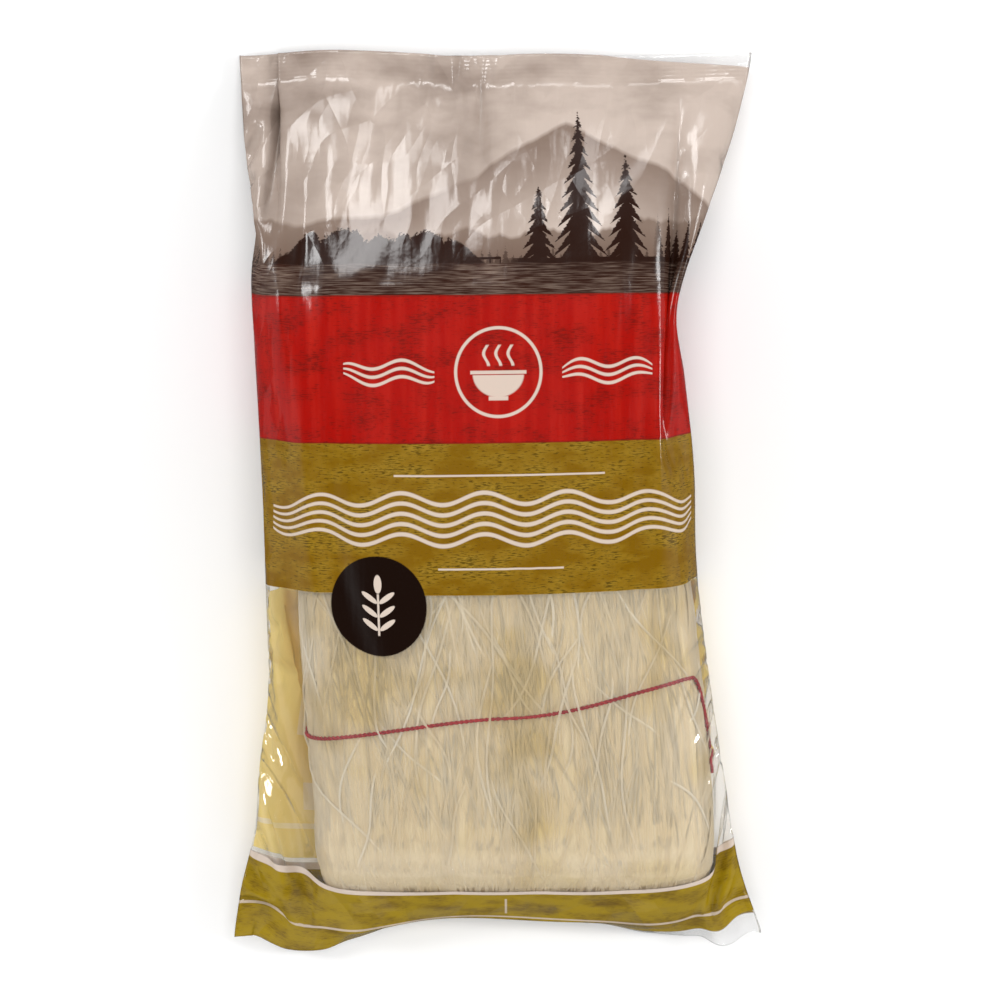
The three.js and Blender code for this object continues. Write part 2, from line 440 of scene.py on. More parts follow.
# The film is settled on four grids, each twice as fine as the one before. For each: rounds, air
# pressure and weight in millimetres a round, stiffness, and the crumples put in at its start.
STAGES = [
    {"rounds": 500, "pressure": 0.006, "weight": 0.003, "stiffness": 0.006, "crumple": 0.4},
    {"rounds": 500, "pressure": 0.002, "weight": 0.002, "stiffness": 0.004, "crumple": 0.3},
    {"rounds": 400, "pressure": 0.0006, "weight": 0.001, "stiffness": 0.003, "crumple": 0.15},
    {"rounds": 110, "pressure": 0.0, "weight": 0.0004, "stiffness": 0.008, "crumple": 0.03},
]
FIRST_ROWS = 33
FIRST_COLUMNS = 48


def fold_height(x, y):
    """Sum of straight ridges and grooves: a bell across each, faded out at its two ends."""
    total = 0 * x
    for (ax, ay), (bx, by), half_width, height in FOLDS:
        dx, dy = (bx - ax) * MM, (by - ay) * MM
        from_x, from_y = x - ax * MM, y - ay * MM
        t = np.clip((from_x * dx + from_y * dy) / (dx * dx + dy * dy), 0, 1)
        off = np.hypot(from_x - t * dx, from_y - t * dy) / (half_width * MM)
        total = total + height * MM * (1 - np.abs(2 * t - 1) ** 3) * np.exp(-off * off)
    return total


def first_film(rows, columns):
    """The film's first form: a tube whose section is flat at both ends and full in the middle.

    Round the tube, columns run from the left fold over the front to the right fold and back
    under it. Heights are the edge level plus a bulge of (1 - |across|^2.2)^power.
    """
    round_share = np.arange(columns)[None, :] / columns
    along_share = np.linspace(0, 1, rows)[:, None]
    y = (along_share - 0.5) * PACK_LENGTH + 0 * round_share
    front = round_share < 0.5
    across = np.where(front, 4 * round_share - 1, 3 - 4 * round_share)
    fullness = smoothstep(front_at(y) - back_at(y), 2 * MM, 44 * MM)
    turned = np.sin(across * 1.46) / np.sin(1.46)
    across = across + (turned - across) * fullness
    x = (left_at(y) + right_at(y)) / 2 + across * (right_at(y) - left_at(y)) / 2
    bulge = np.clip(1 - np.abs(across) ** 2.2, 0, 1) ** (1 - 0.58 * fullness)
    level = np.where(front, front_at(y), back_at(y))
    z = edge_at(y) + (level - edge_at(y)) * bulge
    z = z + np.where(front, fold_height(x, y), 0)
    return np.stack([x, y, z], -1).astype(np.float32)


def keep_off_bundle(noodles, p):
    """Moves film points that are inside the bundle out to its surface, along the gradient of
    the superellipse's own distance. Uneven noodles hold the film off by a millimetre or so."""
    half_width, half_depth, middle = bundle_section(noodles, p[..., 1])
    lump = np.abs(np.sin(p[..., 0] / (9 * MM) + 2 * np.sin(p[..., 1] / (31 * MM))))
    there = (p[..., 1] > BUNDLE_LOW) & (p[..., 1] < BUNDLE_HIGH)
    half_width = half_width + 0.9 * MM
    half_depth = half_depth + (0.9 + 0.8 * lump) * MM * np.clip(half_depth / (14 * MM), 0.2, 1)
    x = p[..., 0] - centre_at(p[..., 1])
    z = p[..., 2] - middle
    share_x, share_z = np.abs(x) / half_width, np.abs(z) / half_depth
    total = share_x**BUNDLE_POWER + share_z**BUNDLE_POWER
    reach = total ** (1 / BUNDLE_POWER)
    inside = there & (reach < 1) & (reach > 0.3)
    scale = np.where(inside, total, 1) ** (1 / BUNDLE_POWER - 1)
    slope_x = scale * share_x ** (BUNDLE_POWER - 1) / half_width * np.sign(x)
    slope_z = scale * share_z ** (BUNDLE_POWER - 1) / half_depth * np.sign(z)
    step = np.where(inside, (1 - reach) / (slope_x**2 + slope_z**2 + 1e-12), 0)
    p[..., 0] += step * slope_x
    p[..., 2] += step * slope_z


def tension(d, rest, share):
    """The part of a link d that has to go for it to have its resting length."""
    size = np.sqrt(np.einsum("...i,...i", d, d))[..., None]
    return d * ((size - rest) / (size + 1e-9) * share)


def blow(p, rows, pressure):
    """Moves the given rows out along the film's normals, the cross product of its two ways."""
    along = np.empty_like(p)
    along[1:-1] = p[2:] - p[:-2]
    along[0], along[-1] = p[1] - p[0], p[-1] - p[-2]
    normal = unit(np.cross(np.roll(p, -1, 1) - np.roll(p, 1, 1), along))
    p[rows] += normal[rows] * pressure


def bond(p, rows, half, gap):
    """Brings front and back together in the given rows, a seal's thickness apart."""
    middle = (p[rows, 1:half] + p[rows, half + 1 :][:, ::-1]) / 2
    p[rows, 1:half] = middle
    p[rows, half + 1 :] = middle[:, ::-1]
    p[rows, 1:half, 2] += gap / 2
    p[rows, half + 1 :, 2] -= gap / 2


def settle(film, noodles, p, rounds, pressure, weight, stiffness):
    """Lets the film settle: sheet that can't stretch, over the bundle and on the surface.

    Each round pulls every link between neighbours round, along and (more weakly) aslant the
    tube towards its flat length, evens out bends a little, adds air pressure and weight, and
    then enforces what the film meets: its outline's folds, the bundle, its own other side, the
    bonds of both seals and the surface it lies on.
    """
    rows, columns = p.shape[:2]
    half = columns // 2
    round_link = 2 * film.width / columns
    along_link = film.length / (rows - 1)
    slant_link = math.hypot(round_link, along_link)
    v = np.linspace(0, film.length, rows)
    low = slice(0, int(np.sum(v <= film.lower_seal + along_link / 2)))
    high = slice(int(np.sum(v < film.length - film.upper_seal - along_link / 2)), rows)
    column = np.arange(columns)
    side = 2 * np.minimum(column, columns - column) / half - 1
    fold = np.radians(through(FIN_FOLD)(side) / MM)
    reach = (film.lower_seal - v[low])[:, None]
    fin_y = through(LOWER_SEAL_LINE)(side) - reach * np.cos(fold)
    fin_z = FIN_LEVEL + 0.8 * MM * np.sin(9 * side) - reach * np.sin(fold)
    fin_z = np.maximum(fin_z, REST + 0.8 * MM)
    end_y = (HALF_LENGTH - (film.length - v[high]))[:, None] + through(UPPER_END_LINE)(side)
    left_y, right_y = through(LEFT_REACH)(v), through(RIGHT_REACH)(v)
    fronts = np.arange(1, half)
    backs = columns - fronts
    for _ in range(rounds):
        move = np.zeros_like(p)
        pull = tension(np.roll(p, -1, 1) - p, round_link, 0.5)
        move += pull - np.roll(pull, 1, 1)
        pull = tension(p[1:] - p[:-1], along_link, 0.5)
        move[:-1] += pull
        move[1:] -= pull
        for slant in (-1, 1):
            pull = tension(np.roll(p, slant, 1)[1:] - p[:-1], slant_link, 0.3)
            move[:-1] += pull
            move[1:] -= np.roll(pull, -slant, 1)
        p += move * 0.42
        bend = (np.roll(p, 1, 1) + np.roll(p, -1, 1)) * 0.5 - p
        bend[1:-1] += (p[2:] + p[:-2]) * 0.5 - p[1:-1]
        p += bend * stiffness
        if pressure:
            blow(p, slice(low.stop - 1, high.start), pressure)
        p[..., 2] -= weight
        left, right = left_at(p[..., 1]), right_at(p[..., 1])
        p[:, 0, 0] += (left[:, 0] - p[:, 0, 0]) * 0.15
        p[:, half, 0] += (right[:, half] - p[:, half, 0]) * 0.15
        p[:, 0, 1] += (left_y - p[:, 0, 1]) * 0.05
        p[:, half, 1] += (right_y - p[:, half, 1]) * 0.05
        p[..., 0] += np.maximum(left - p[..., 0], 0) * 0.5
        p[..., 0] -= np.maximum(p[..., 0] - right, 0) * 0.5
        p[low, :, 1] += (fin_y - p[low, :, 1]) * 0.06
        p[low, :, 2] += (fin_z - p[low, :, 2]) * 0.06
        p[high, :, 1] += (end_y - p[high, :, 1]) * 0.06
        keep_off_bundle(noodles, p)
        need = np.maximum(film.gap - (p[:, fronts, 2] - p[:, backs, 2]), 0) * 0.5
        p[:, fronts, 2] += need
        p[:, backs, 2] -= need
        bond(p, low, half, film.gap)
        bond(p, high, half, film.gap)
        p[..., 2] = np.maximum(p[..., 2], REST)


def finer(p):
    """The same film on a grid twice as fine: each new point is 9/16 of its two neighbours less
    1/16 of the next two."""
    rows, columns = p.shape[:2]
    wide = np.empty((rows, 2 * columns, 3), np.float32)
    wide[:, ::2] = p
    near = p + np.roll(p, -1, 1)
    far = np.roll(p, 1, 1) + np.roll(p, -2, 1)
    wide[:, 1::2] = (9 * near - far) / 16
    ends = np.concatenate([2 * wide[:1] - wide[1:2], wide, 2 * wide[-1:] - wide[-2:-1]])
    dense = np.empty((2 * rows - 1, 2 * columns, 3), np.float32)
    dense[::2] = wide
    dense[1::2] = (9 * (ends[1:-2] + ends[2:-1]) - ends[:-3] - ends[3:]) / 16
    return dense


def settled_film(film, noodles):
    """The film's points: (rows along the pack, columns round the tube, 3)."""
    rng = np.random.default_rng(film.seed)
    p = first_film(FIRST_ROWS, FIRST_COLUMNS)
    for i, stage in enumerate(STAGES):
        if i:
            p = finer(p)
        p += rng.normal(0, stage["crumple"] * MM, p.shape).astype(np.float32)
        pressure, weight = stage["pressure"] * MM, stage["weight"] * MM
        settle(film, noodles, p, stage["rounds"], pressure, weight, stage["stiffness"])
    return p


# ---------------------------------------------------------------- materials


class Value:
    """A number that varies over a surface: one socket, and arithmetic on it adds Math nodes."""

    def __init__(self, finish, socket):
        self.finish = finish
        self.socket = socket

    def math(self, operation, *others, clamp=False):
        """One Math node of this value and others."""
        settings = {"operation": operation, "use_clamp": clamp}
        return self.finish.node("ShaderNodeMath", settings, dict(enumerate([self, *others])))

    def __add__(self, other):
        return self.math("ADD", other)

    def __sub__(self, other):
        return self.math("SUBTRACT", other)

    def __rsub__(self, other):
        return self.finish.node(
            "ShaderNodeMath", {"operation": "SUBTRACT"}, {0: other, 1: self}
        )

    def __mul__(self, other):
        return self.math("MULTIPLY", other)

    def __truediv__(self, other):
        return self.math("DIVIDE", other)

    def __pow__(self, other):
        return self.math("POWER", other)

    def __abs__(self):
        return self.math("ABSOLUTE")

    def sin(self):
        return self.math("SINE")

    def fract(self):
        return self.math("FRACT")

    def floor(self):
        return self.math("FLOOR")

    def least(self, other):
        return self.math("MINIMUM", other)

    def most(self, other):
        return self.math("MAXIMUM", other)

    def above(self, level, soft):
        """0 to 1 as the value passes level, within soft of it on either side."""
        if isinstance(level, Value):
            return (self - level).above(0, soft)
        return self.math("MULTIPLY_ADD", 0.5 / soft, 0.5 - level * 0.5 / soft, clamp=True)

    def between(self, low, high, soft):
        """1 from low to high and 0 outside, within soft of both."""
        return self.above(low, soft) * (1 - self.above(high, soft))


class Finish:
    """A material under construction. Its surface is given to `surface` at the end."""

    def __init__(self, name):
        self.material = bpy.data.materials.new(name)
        self.material.use_nodes = True
        self.tree = self.material.node_tree
        self.tree.nodes.clear()

    def node(self, kind, settings=None, sockets=None, output=0):
        """Adds one node: its settings first, then values or links for its inputs by name or
        number. Returns the named or numbered output."""
        node = self.tree.nodes.new(kind)
        for name, value in (settings or {}).items():
            setattr(node, name, value)
        for name, value in (sockets or {}).items():
            if isinstance(value, Value):
                self.tree.links.new(value.socket, node.inputs[name])
            elif node.inputs[name].type == "RGBA":
                node.inputs[name].default_value = (*value, 1)
            else:
                node.inputs[name].default_value = value
        return Value(self, node.outputs[output])

    def split(self, vector):
        """The three numbers of a vector."""
        return [self.node("ShaderNodeSeparateXYZ", {}, {0: vector}, i) for i in range(3)]

    def point(self, x, y, z=0.0):
        """A vector of three numbers."""
        return self.node("ShaderNodeCombineXYZ", {}, {0: x, 1: y, 2: z})

    def noise(self, point, scale=1.0, detail=2.0, roughness=0.5):
        """Smooth noise about 0.5."""
        sockets = {"Vector": point, "Scale": scale, "Detail": detail, "Roughness": roughness}
        return self.node("ShaderNodeTexNoise", {"noise_dimensions": "3D"}, sockets, "Fac")

    def chance(self, number):
        """A random number from 0 to 1 that depends on the number alone."""
        settings = {"noise_dimensions": "1D"}
        return self.node("ShaderNodeTexWhiteNoise", settings, {"W": number}, "Value")

    def mix(self, share, first, second):
        """A colour between two."""
        sockets = {0: share, 6: first, 7: second}
        return self.node("ShaderNodeMix", {"data_type": "RGBA"}, sockets, 2)

    def blend(self, share, first, second):
        """A surface between two."""
        return self.node("ShaderNodeMixShader", {}, {0: share, 1: first, 2: second})

    def bump(self, height):
        """The normal of a surface whose height is given in metres."""
        return self.node("ShaderNodeBump", {}, {"Strength": 1.0, "Distance": 1.0, "Height": height})

    def surface(self, shader):
        """Ends the material with the shader given."""
        output = self.tree.nodes.new("ShaderNodeOutputMaterial")
        self.tree.links.new(shader.socket, output.inputs["Surface"])
        return self.material


def film_place(finish, film):
    """The film's two coordinates in millimetres, a round it and v along it, from its UVs."""
    uv = finish.node("ShaderNodeUVMap", {"uv_map": "sheet"})
    u, w, _ = finish.split(uv)
    return u * (film.length / MM), w * (film.length / MM)


# Height of the fine relief's parts, and how deep the pressed ribs of the seals are.
PULL_HEIGHT = 0.24 * MM
DIMPLE_HEIGHT = 0.16 * MM
RIB_HEIGHT = 0.015 * MM
RIB_PITCH = 1.3


def zigzag(place, pitch, slope):
    """Height in metres of a surface folded into even planes, a ridge to each whole number of
    place: its planes are half a pitch wide in millimetres and rise and fall with the slope."""
    return abs(place.fract() - 0.5) * (pitch * slope * MM)


def film_relief(finish, film, a, v):
    """Height of the film's fine relief, in metres: long pulls along it, shallow dimples, flat
    facets between sharp creases where the film is slack, and the pressed ribs of both seals.

    The facets are three zigzags laid over each other at different angles, whose lines a slow
    noise bends.
    """
    pulls = finish.noise(finish.point(a / 5.5, v / 42), detail=2, roughness=0.6)
    dimples = finish.noise(finish.point(a / 9, v / 9), detail=3, roughness=0.55)
    bend = finish.noise(finish.point(a / 42, v / 60), detail=1)
    kink = finish.noise(finish.point(a / 16, v / 26), detail=1)
    facets = (
        zigzag(a / 29 + v / 92 + bend * 2.2, 29, 0.09)
        + zigzag(v / 37 - a / 40 + bend * 1.7, 28, 0.075)
        + zigzag(a / 11 - v / 44 + kink * 1.6, 11, 0.05)
    )
    off_fold = abs(abs(a - film.width / MM) - film.width / MM)
    slack = v.above(258, 20) * (1 - a.above(105, 60) * 0.45)
    slack = slack.most((1 - off_fold.above(17, 9)) * 1.5)
    slack = slack.most((1 - v.above(30, 8)) * 1.3)
    seal_low = 1 - v.above(film.lower_seal / MM, 0.4)
    seal_high = v.above((film.length - film.upper_seal) / MM, 0.4)
    ribs = (v * (2 * math.pi / RIB_PITCH)).sin() * (seal_low + seal_high)
    fine = pulls * PULL_HEIGHT + dimples * DIMPLE_HEIGHT + ribs * RIB_HEIGHT
    return fine + facets * slack


FILM_MIRROR = 0.07
FILM_HAZE = 0.035


def clear_shader(finish, normal):
    """Clear film: what is behind it shows through, a little of it hazed, and both faces of the
    sheet together mirror FILM_MIRROR straight on and everything at grazing angles."""
    facing = finish.node(
        "ShaderNodeLayerWeight", {}, {"Blend": 0.5, "Normal": normal}, "Facing"
    )
    mirrored = facing**5 * (1 - FILM_MIRROR) + FILM_MIRROR
    through_film = finish.node("ShaderNodeBsdfTransparent", {}, {"Color": (0.99, 0.99, 0.99)})
    haze = finish.node("ShaderNodeBsdfDiffuse", {}, {"Color": (0.86, 0.86, 0.88)})
    sheet = finish.blend(FILM_HAZE, through_film, haze)
    sockets = {"Color": (1.0, 1.0, 1.0), "Roughness": 0.07, "Normal": normal}
    gloss = finish.node("ShaderNodeBsdfAnisotropic", {}, sockets)
    return finish.blend(mirrored, sheet, gloss)


def ink_shader(finish, ink, normal, a, v, lit_through=None, glow_colour=None):
    """Printed film: the ink under a glossy sheet whose shine is a little uneven. Where
    lit_through is above 0 the ink is thin, and light from its other side comes through in the
    glow colour."""
    uneven = finish.noise(finish.point(a / 12, v / 12), detail=2)
    sockets = {
        "Base Color": ink,
        "Roughness": uneven * 0.1 + 0.11,
        "IOR": 1.38,
        "Normal": normal,
    }
    print_on_film = finish.node("ShaderNodeBsdfPrincipled", {}, sockets)
    if lit_through is None:
        return print_on_film
    glow = finish.node("ShaderNodeBsdfTranslucent", {}, {"Color": glow_colour})
    return finish.blend(lit_through, print_on_film, glow)


# Half the width of the print's soft edges, in millimetres.
EDGE = 0.12


def blocks_mask(a, v, places):
    """1 on upright oblongs of the print, each given as its left, right, lower and upper side."""
    mask = 0.0
    for left, right, low, high in places:
        block = a.between(left, right, EDGE) * v.between(low, high, EDGE)
        mask = block.most(mask)
    return mask


def disc_mask(layout, a, v):
    """1 on the round mark that overlaps the window's upper edge."""
    x = a - layout.disc_across / MM
    y = v - layout.disc_along / MM
    return 1 - (x * x + y * y).math("SQRT").above(layout.disc_radius / MM, 0.16)


def sprig_mask(layout, a, v):
    """1 on a small sprig in the round mark: a stem, and leaves in pairs as leaning ellipses."""
    x = a - layout.disc_across / MM
    y = v - layout.disc_along / MM
    stem = (1 - abs(x).above(0.35, 0.12)) * y.between(-9.5, 4, 0.2)
    side = abs(x)
    tier = ((y + 8) / 4.4).floor()
    in_row = y.between(-8, 5.2, 0.1)
    up = (y + 8) - tier * 4.4 - side * 0.62 - 0.2
    leaf = ((side - 2.9) / 2.6) ** 2 + (up / 1.05) ** 2
    tip = (x / 1.3) ** 2 + ((y - 7.2) / 3.0) ** 2
    leaves = (1 - leaf.above(1, 0.12)) * in_row
    return stem.most(leaves).most(1 - tip.above(1, 0.12))


# The conifers on the shore: their feet, heights, half widths and numbers of tiers.
CONIFERS = [(122, 51, 9.5, 12), (137.5, 35, 8, 9), (108.5, 26, 6.5, 7)]
# Rows of round crowns on the islet: the pitch, the start as a share of it, and the least and
# the most height.
CROWNS = [(13.7, 0.3, 6, 10), (8.3, 0.8, 4, 9), (4.9, 0.1, 2, 7)]
# The jetty's two ends.
JETTY = (82, 96)
# The far mountain's middle, half width, height, and the level of its foot.
MOUNTAIN = (118, 62, 33, 252)


def conifer_mask(finish, a, v, shore, foot, height, half_width, tiers):
    """1 on a conifer seen against the sky: a cone of drooping tiers with ragged edges."""
    x = a - foot
    side = abs(x)
    up = (v - shore) / height
    ragged = finish.noise(finish.point(a / 1.1, v / 0.7, foot), detail=2)
    tier = ((up + side * (0.14 / half_width)) * tiers).fract()
    reach = (1 - up) ** 0.9 * half_width * (1 - tier * 0.62)
    cone = (reach + (ragged - 0.5) * 2.6 - side).above(0, 0.2)
    return cone * up.between(0, 1.02, 0.004)


def wood_mask(finish, a, v, shore, pitch, low, high, half_width):
    """1 on a row of conifers of random heights, one to each pitch."""
    number = (a / pitch).floor()
    x = ((a / pitch).fract() - 0.5) * pitch
    height = finish.chance(number) * (high - low) + low
    up = (v - shore) / height
    ragged = finish.noise(finish.point(a / 0.9, v / 0.7), detail=1)
    reach = (1 - up) * half_width * (1 - (up * 6).fract() * 0.4)
    return (reach + (ragged - 0.5) * 1.6 - abs(x)).above(0, 0.2) * up.above(0, 0.01)


def round_crowns(finish, a, pitch, start, low, high):
    """Height of a row of round tree crowns, one to each pitch: random heights under an arch of
    the square root of 1 - x^2."""
    place = a / pitch + start
    x = (place.fract() - 0.5) * 2
    arch = (1 - x * x).math("SQRT")
    return arch * (finish.chance(place.floor()) * (high - low) + low)


def lake_picture(finish, inks, layout, a, v):
    """The picture at the top: a misty lake with long clouds, two ranges of hills, a wooded
    shore with tall conifers, an islet of round trees with a jetty, and rippled water."""
    shore = layout.shore / MM
    clouds = finish.noise(finish.point(a / 34, v / 19), detail=4, roughness=0.5)
    cover = v.above(292, 26) * 0.45 + 0.45
    lighter = 0.22 - a.above(112, 55) * 0.5
    shaded_cloud = ((clouds - 0.42) * 3.4 * cover).math("ADD", lighter, clamp=True)
    sky = finish.mix(shaded_cloud, inks.sky, inks.cloud)
    ridge = finish.noise(finish.point(a / 34, 3.0), detail=4, roughness=0.5)
    middle, half_width, height, foot = MOUNTAIN
    peak = 1 - (abs(a - middle) / half_width).least(1.0)
    far_top = peak * height + ridge * 12 + foot
    depth = (far_top - v) / 34 + (clouds - 0.5) * 0.7
    far_ink = finish.mix(depth.math("ADD", 0.0, clamp=True), inks.hill, inks.sky)
    scene = finish.mix((far_top - v).above(0, 0.9), sky, far_ink)
    near_ridge = finish.noise(finish.point(a / 15, 7.0), detail=3, roughness=0.6)
    near_top = near_ridge * 15 + 246 + (abs(a - 88) / 88) ** 2 * 7
    near_ink = finish.mix((v - shore).above(5, 6), inks.mist, inks.hill)
    scene = finish.mix((near_top - v).above(0, 0.7), scene, near_ink)
    low_wood = wood_mask(finish, a, v, shore, 2.6, 2.0, 5.5, 1.6)
    scene = finish.mix(low_wood * 0.6, scene, inks.trees)
    islet = a.between(26, 84, 7)
    small = finish.noise(finish.point(a / 0.9, v / 0.9), detail=2)
    crowns = 0.0
    for row in CROWNS:
        crowns = round_crowns(finish, a, *row).most(crowns)
    islet_top = islet * (crowns + (small - 0.5) * 4.5 + 2.5) + shore
    leaves = finish.mix((small - 0.55) * 2.2, inks.trees, inks.water)
    scene = finish.mix((islet_top - v).above(0, 0.3), scene, leaves)
    wood = wood_mask(finish, a, v, shore, 4.7, 9, 19, 3.0) * a.between(148, 214, 2)
    bank = (v - shore - 1.6).math("LESS_THAN", 0.0) * a.between(99, 216, 3)
    dark = wood.most(bank)
    for tree in CONIFERS:
        dark = dark.most(conifer_mask(finish, a, v, shore, *tree))
    scene = finish.mix(dark, scene, inks.trees)
    deck = v.between(shore + 1.3, shore + 2.1, EDGE)
    posts = (a / 3.4).fract().between(0.1, 0.26, 0.03) * v.between(shore - 2, shore + 1.5, EDGE)
    scene = finish.mix(deck.most(posts) * a.between(*JETTY, EDGE), scene, inks.trees)
    ripples = finish.noise(finish.point(a / 9, v / 0.42), detail=2, roughness=0.6)
    shaded = islet.most(a.between(100, 214, 8)) * (v - shore).above(-6.5, 5)
    lake = finish.mix((ripples - 0.42) * 4, inks.water, inks.hill)
    lake = finish.mix(shaded * (1.25 - ripples * 1.1), lake, inks.trees)
    low_shade = 1 - v.above(shore - 7, 3.5)
    lake = finish.mix(low_shade * 0.35, lake, inks.trees)
    return finish.mix(v.above(shore, 0.25), lake, scene)


def flecks(finish, a, v):
    """Short dark dashes and soft blotches, as on rough paper."""
    dashes = finish.noise(finish.point(a / 2.4, v / 0.4), detail=2, roughness=0.6)
    blotches = finish.noise(finish.point(a / 15, v / 8), detail=3, roughness=0.6)
    dashed = (dashes + (blotches - 0.5) * 0.6).above(0.6, 0.05)
    return dashed, blotches


def bowl_mask(a, v, middle_a, middle_v):
    """1 on a plain bowl with three wavy lines of steam over it, inside a thin ring."""
    x = a - middle_a
    y = v - middle_v
    ring_off = abs((x * x + y * y).math("SQRT") - 14)
    ring = 1 - ring_off.above(0.5, 0.14)
    down = y + 0.5
    body = (1 - ((x / 8.4) ** 2 + (down / 7.4) ** 2).above(1, 0.06)) * (1 - y.above(-0.9, 0.12))
    rim = y.between(-0.6, 0.5, 0.12) * (1 - abs(x).above(9.2, 0.12))
    foot = y.between(-8.9, -7.6, 0.12) * (1 - abs(x).above(3.2, 0.12))
    wave = abs(((x - (y * 0.8).sin() * 0.8) / 4 + 0.5).fract() - 0.5) * 4
    steam = (1 - wave.above(0.5, 0.14)) * y.between(2, 8.6, 0.2) * (1 - abs(x).above(5.4, 0.1))
    return ring.most(body).most(rim).most(foot).most(steam)


# The two kinds of wavy bundle in the print: the level, pitch and number of the lines, how far
# they swing, and the length of a wave over 2 pi. All but the number are in millimetres.
RED_BUNDLE = {"level": 209.5, "pitch": 2.6, "lines": 3, "swing": 1.4, "wave": 3.1}
OLIVE_BUNDLE = {"level": 163, "pitch": 3.3, "lines": 5, "swing": 1.9, "wave": 4.4}
# Thin pale rules on the olive band and on the strip, and the pale blocks of the back's panel.
OLIVE_RULES = [(60, 130, 176.6, 177.2), (74, 116, 146.8, 147.4)]
STRIP_RULES = [(92.6, 93.3, 15.5, 28.5)]
BACK_BLOCKS = [(205, 258, 54, 118), (286, 334, 77, 93), (286, 331, 52, 61), (200, 357, 45.6, 47.4)]
BACK_PANEL = [(192, 356.4, 36, 131)]
# Shades that the print's texture mixes into its inks, as linear values. The first is painted
# reflection: the lighter red of the red band's upright streaks.
RED_PAINTED_SHEEN = (0.6, 0.03, 0.015)
RED_DEEP = (0.22, 0.006, 0.003)
RED_FLECK = (0.12, 0.005, 0.003)
RED_EDGE = (0.1, 0.01, 0.004)
OLIVE_LIGHT = (0.35, 0.22, 0.02)
OLIVE_FLECK = (0.06, 0.032, 0.002)
KHAKI_DEEP = (0.17, 0.1, 0.008)
KHAKI_FLECK = (0.1, 0.055, 0.004)
BLOCK_INK = (0.86, 0.8, 0.7)


def wavy_bundle(a, v, low, high, level, pitch, lines, swing, wave):
    """1 on wavy lines side by side from low to high, which draw together at both ends."""
    x = (a - (low + high) / 2) / ((high - low) / 2)
    gather = 1 - x**4 * 0.45
    place = (v - level - (a / wave).sin() * swing) / (gather * pitch)
    line = abs(place.fract() - 0.5).between(0.3, 0.7, 0.06)
    return line * (1 - abs(place).above(lines / 2, 0.03)) * a.between(low, high, EDGE)


def print_ink(finish, inks, layout, a, v):
    """The colour of the print at (a, v), field by field from the top down."""
    dashed, blotches = flecks(finish, a, v)
    # Painted reflection: long upright streaks of lighter red stand in for the film's shine on the red
    # band.
    sheen_streaks = finish.noise(finish.point(a / 4, v / 70), detail=2)
    front = 1 - a.above(177, 0.2)
    red_low, red_high = layout.red / MM, layout.picture / MM
    edge = 1 - v.between(red_low + 0.5, red_high - 0.5, EDGE)
    red = finish.mix((sheen_streaks - 0.42) * 0.9, inks.red, RED_PAINTED_SHEEN)
    red = finish.mix((blotches - 0.45) * 2, red, RED_DEEP)
    red = finish.mix(dashed * 0.6, red, RED_FLECK)
    red = finish.mix(edge * 0.5, red, RED_EDGE)
    olive = finish.mix((blotches - 0.4) * 2.4, inks.olive, OLIVE_LIGHT)
    olive = finish.mix(dashed * 0.8, olive, OLIVE_FLECK)
    khaki = finish.mix((blotches - 0.42) * 3, inks.khaki, KHAKI_DEEP)
    khaki = finish.mix(dashed * 0.5, khaki, KHAKI_FLECK)
    on_red = bowl_mask(a, v, 95, 209.5)
    for low, high in ((44, 74), (116, 146)):
        on_red = on_red.most(wavy_bundle(a, v, low, high, **RED_BUNDLE))
    red = finish.mix(on_red * front * 0.92, red, inks.pale)
    on_olive = wavy_bundle(a, v, 16, 166, **OLIVE_BUNDLE).most(blocks_mask(a, v, OLIVE_RULES))
    olive = finish.mix(on_olive * front * 0.9, olive, inks.pale)
    on_khaki = (blocks_mask(a, v, STRIP_RULES) * front).most(v.between(12.4, 13.4, EDGE))
    khaki = finish.mix(on_khaki * 0.75, khaki, inks.pale)
    ink = finish.mix(v.above(layout.stripe / MM, EDGE), khaki, inks.pale)
    ink = finish.mix(v.above(layout.window / MM + 0.4, EDGE), ink, inks.panel)
    ink = finish.mix(v.above(layout.olive / MM, EDGE), ink, olive)
    ink = finish.mix(v.above(red_low, EDGE), ink, red)
    picture = lake_picture(finish, inks, layout, a, v)
    ink = finish.mix(v.above(red_high, EDGE), ink, picture)
    ink = finish.mix(blocks_mask(a, v, BACK_BLOCKS), ink, BLOCK_INK)
    disc_ink = finish.mix(sprig_mask(layout, a, v), inks.disc, inks.pale)
    return finish.mix(disc_mask(layout, a, v), ink, disc_ink)


def printed_mask(layout, a, v):
    """1 where the film carries ink. It is bare in the window, at the right of the front's two
    ends, and round the back's panel."""
    window = v.between(layout.window / MM, layout.olive / MM, EDGE)
    disc = disc_mask(layout, a, v)
    body = (1 - window).most(blocks_mask(a, v, BACK_PANEL)).most(disc)
    top_end = 317 - (a - 129).most(0.0) * 0.1
    low_end = ((a - 118) / 60).most(0.0) * 8
    front = 1 - a.above(179, 0.3)
    cut = (v - top_end).above(0, 0.2).most((low_end - v).above(0, 0.2)) * front
    back_end = v.above(312, 0.2).most(1 - v.above(7, 0.2)) * (1 - front)
    return body * (1 - cut.most(back_end))


def printed_film_finish(film, layout, inks):
    """Film with its print, and clear film where there is none."""
    finish = Finish("printed_film")
    a, v = film_place(finish, film)
    normal = finish.bump(film_relief(finish, film, a, v))
    ink = print_ink(finish, inks, layout, a, v)
    clear = clear_shader(finish, normal)
    thin = blocks_mask(a, v, BACK_PANEL) * 0.5
    printed = ink_shader(finish, ink, normal, a, v, thin, inks.panel)
    return finish.surface(finish.blend(printed_mask(layout, a, v), clear, printed))


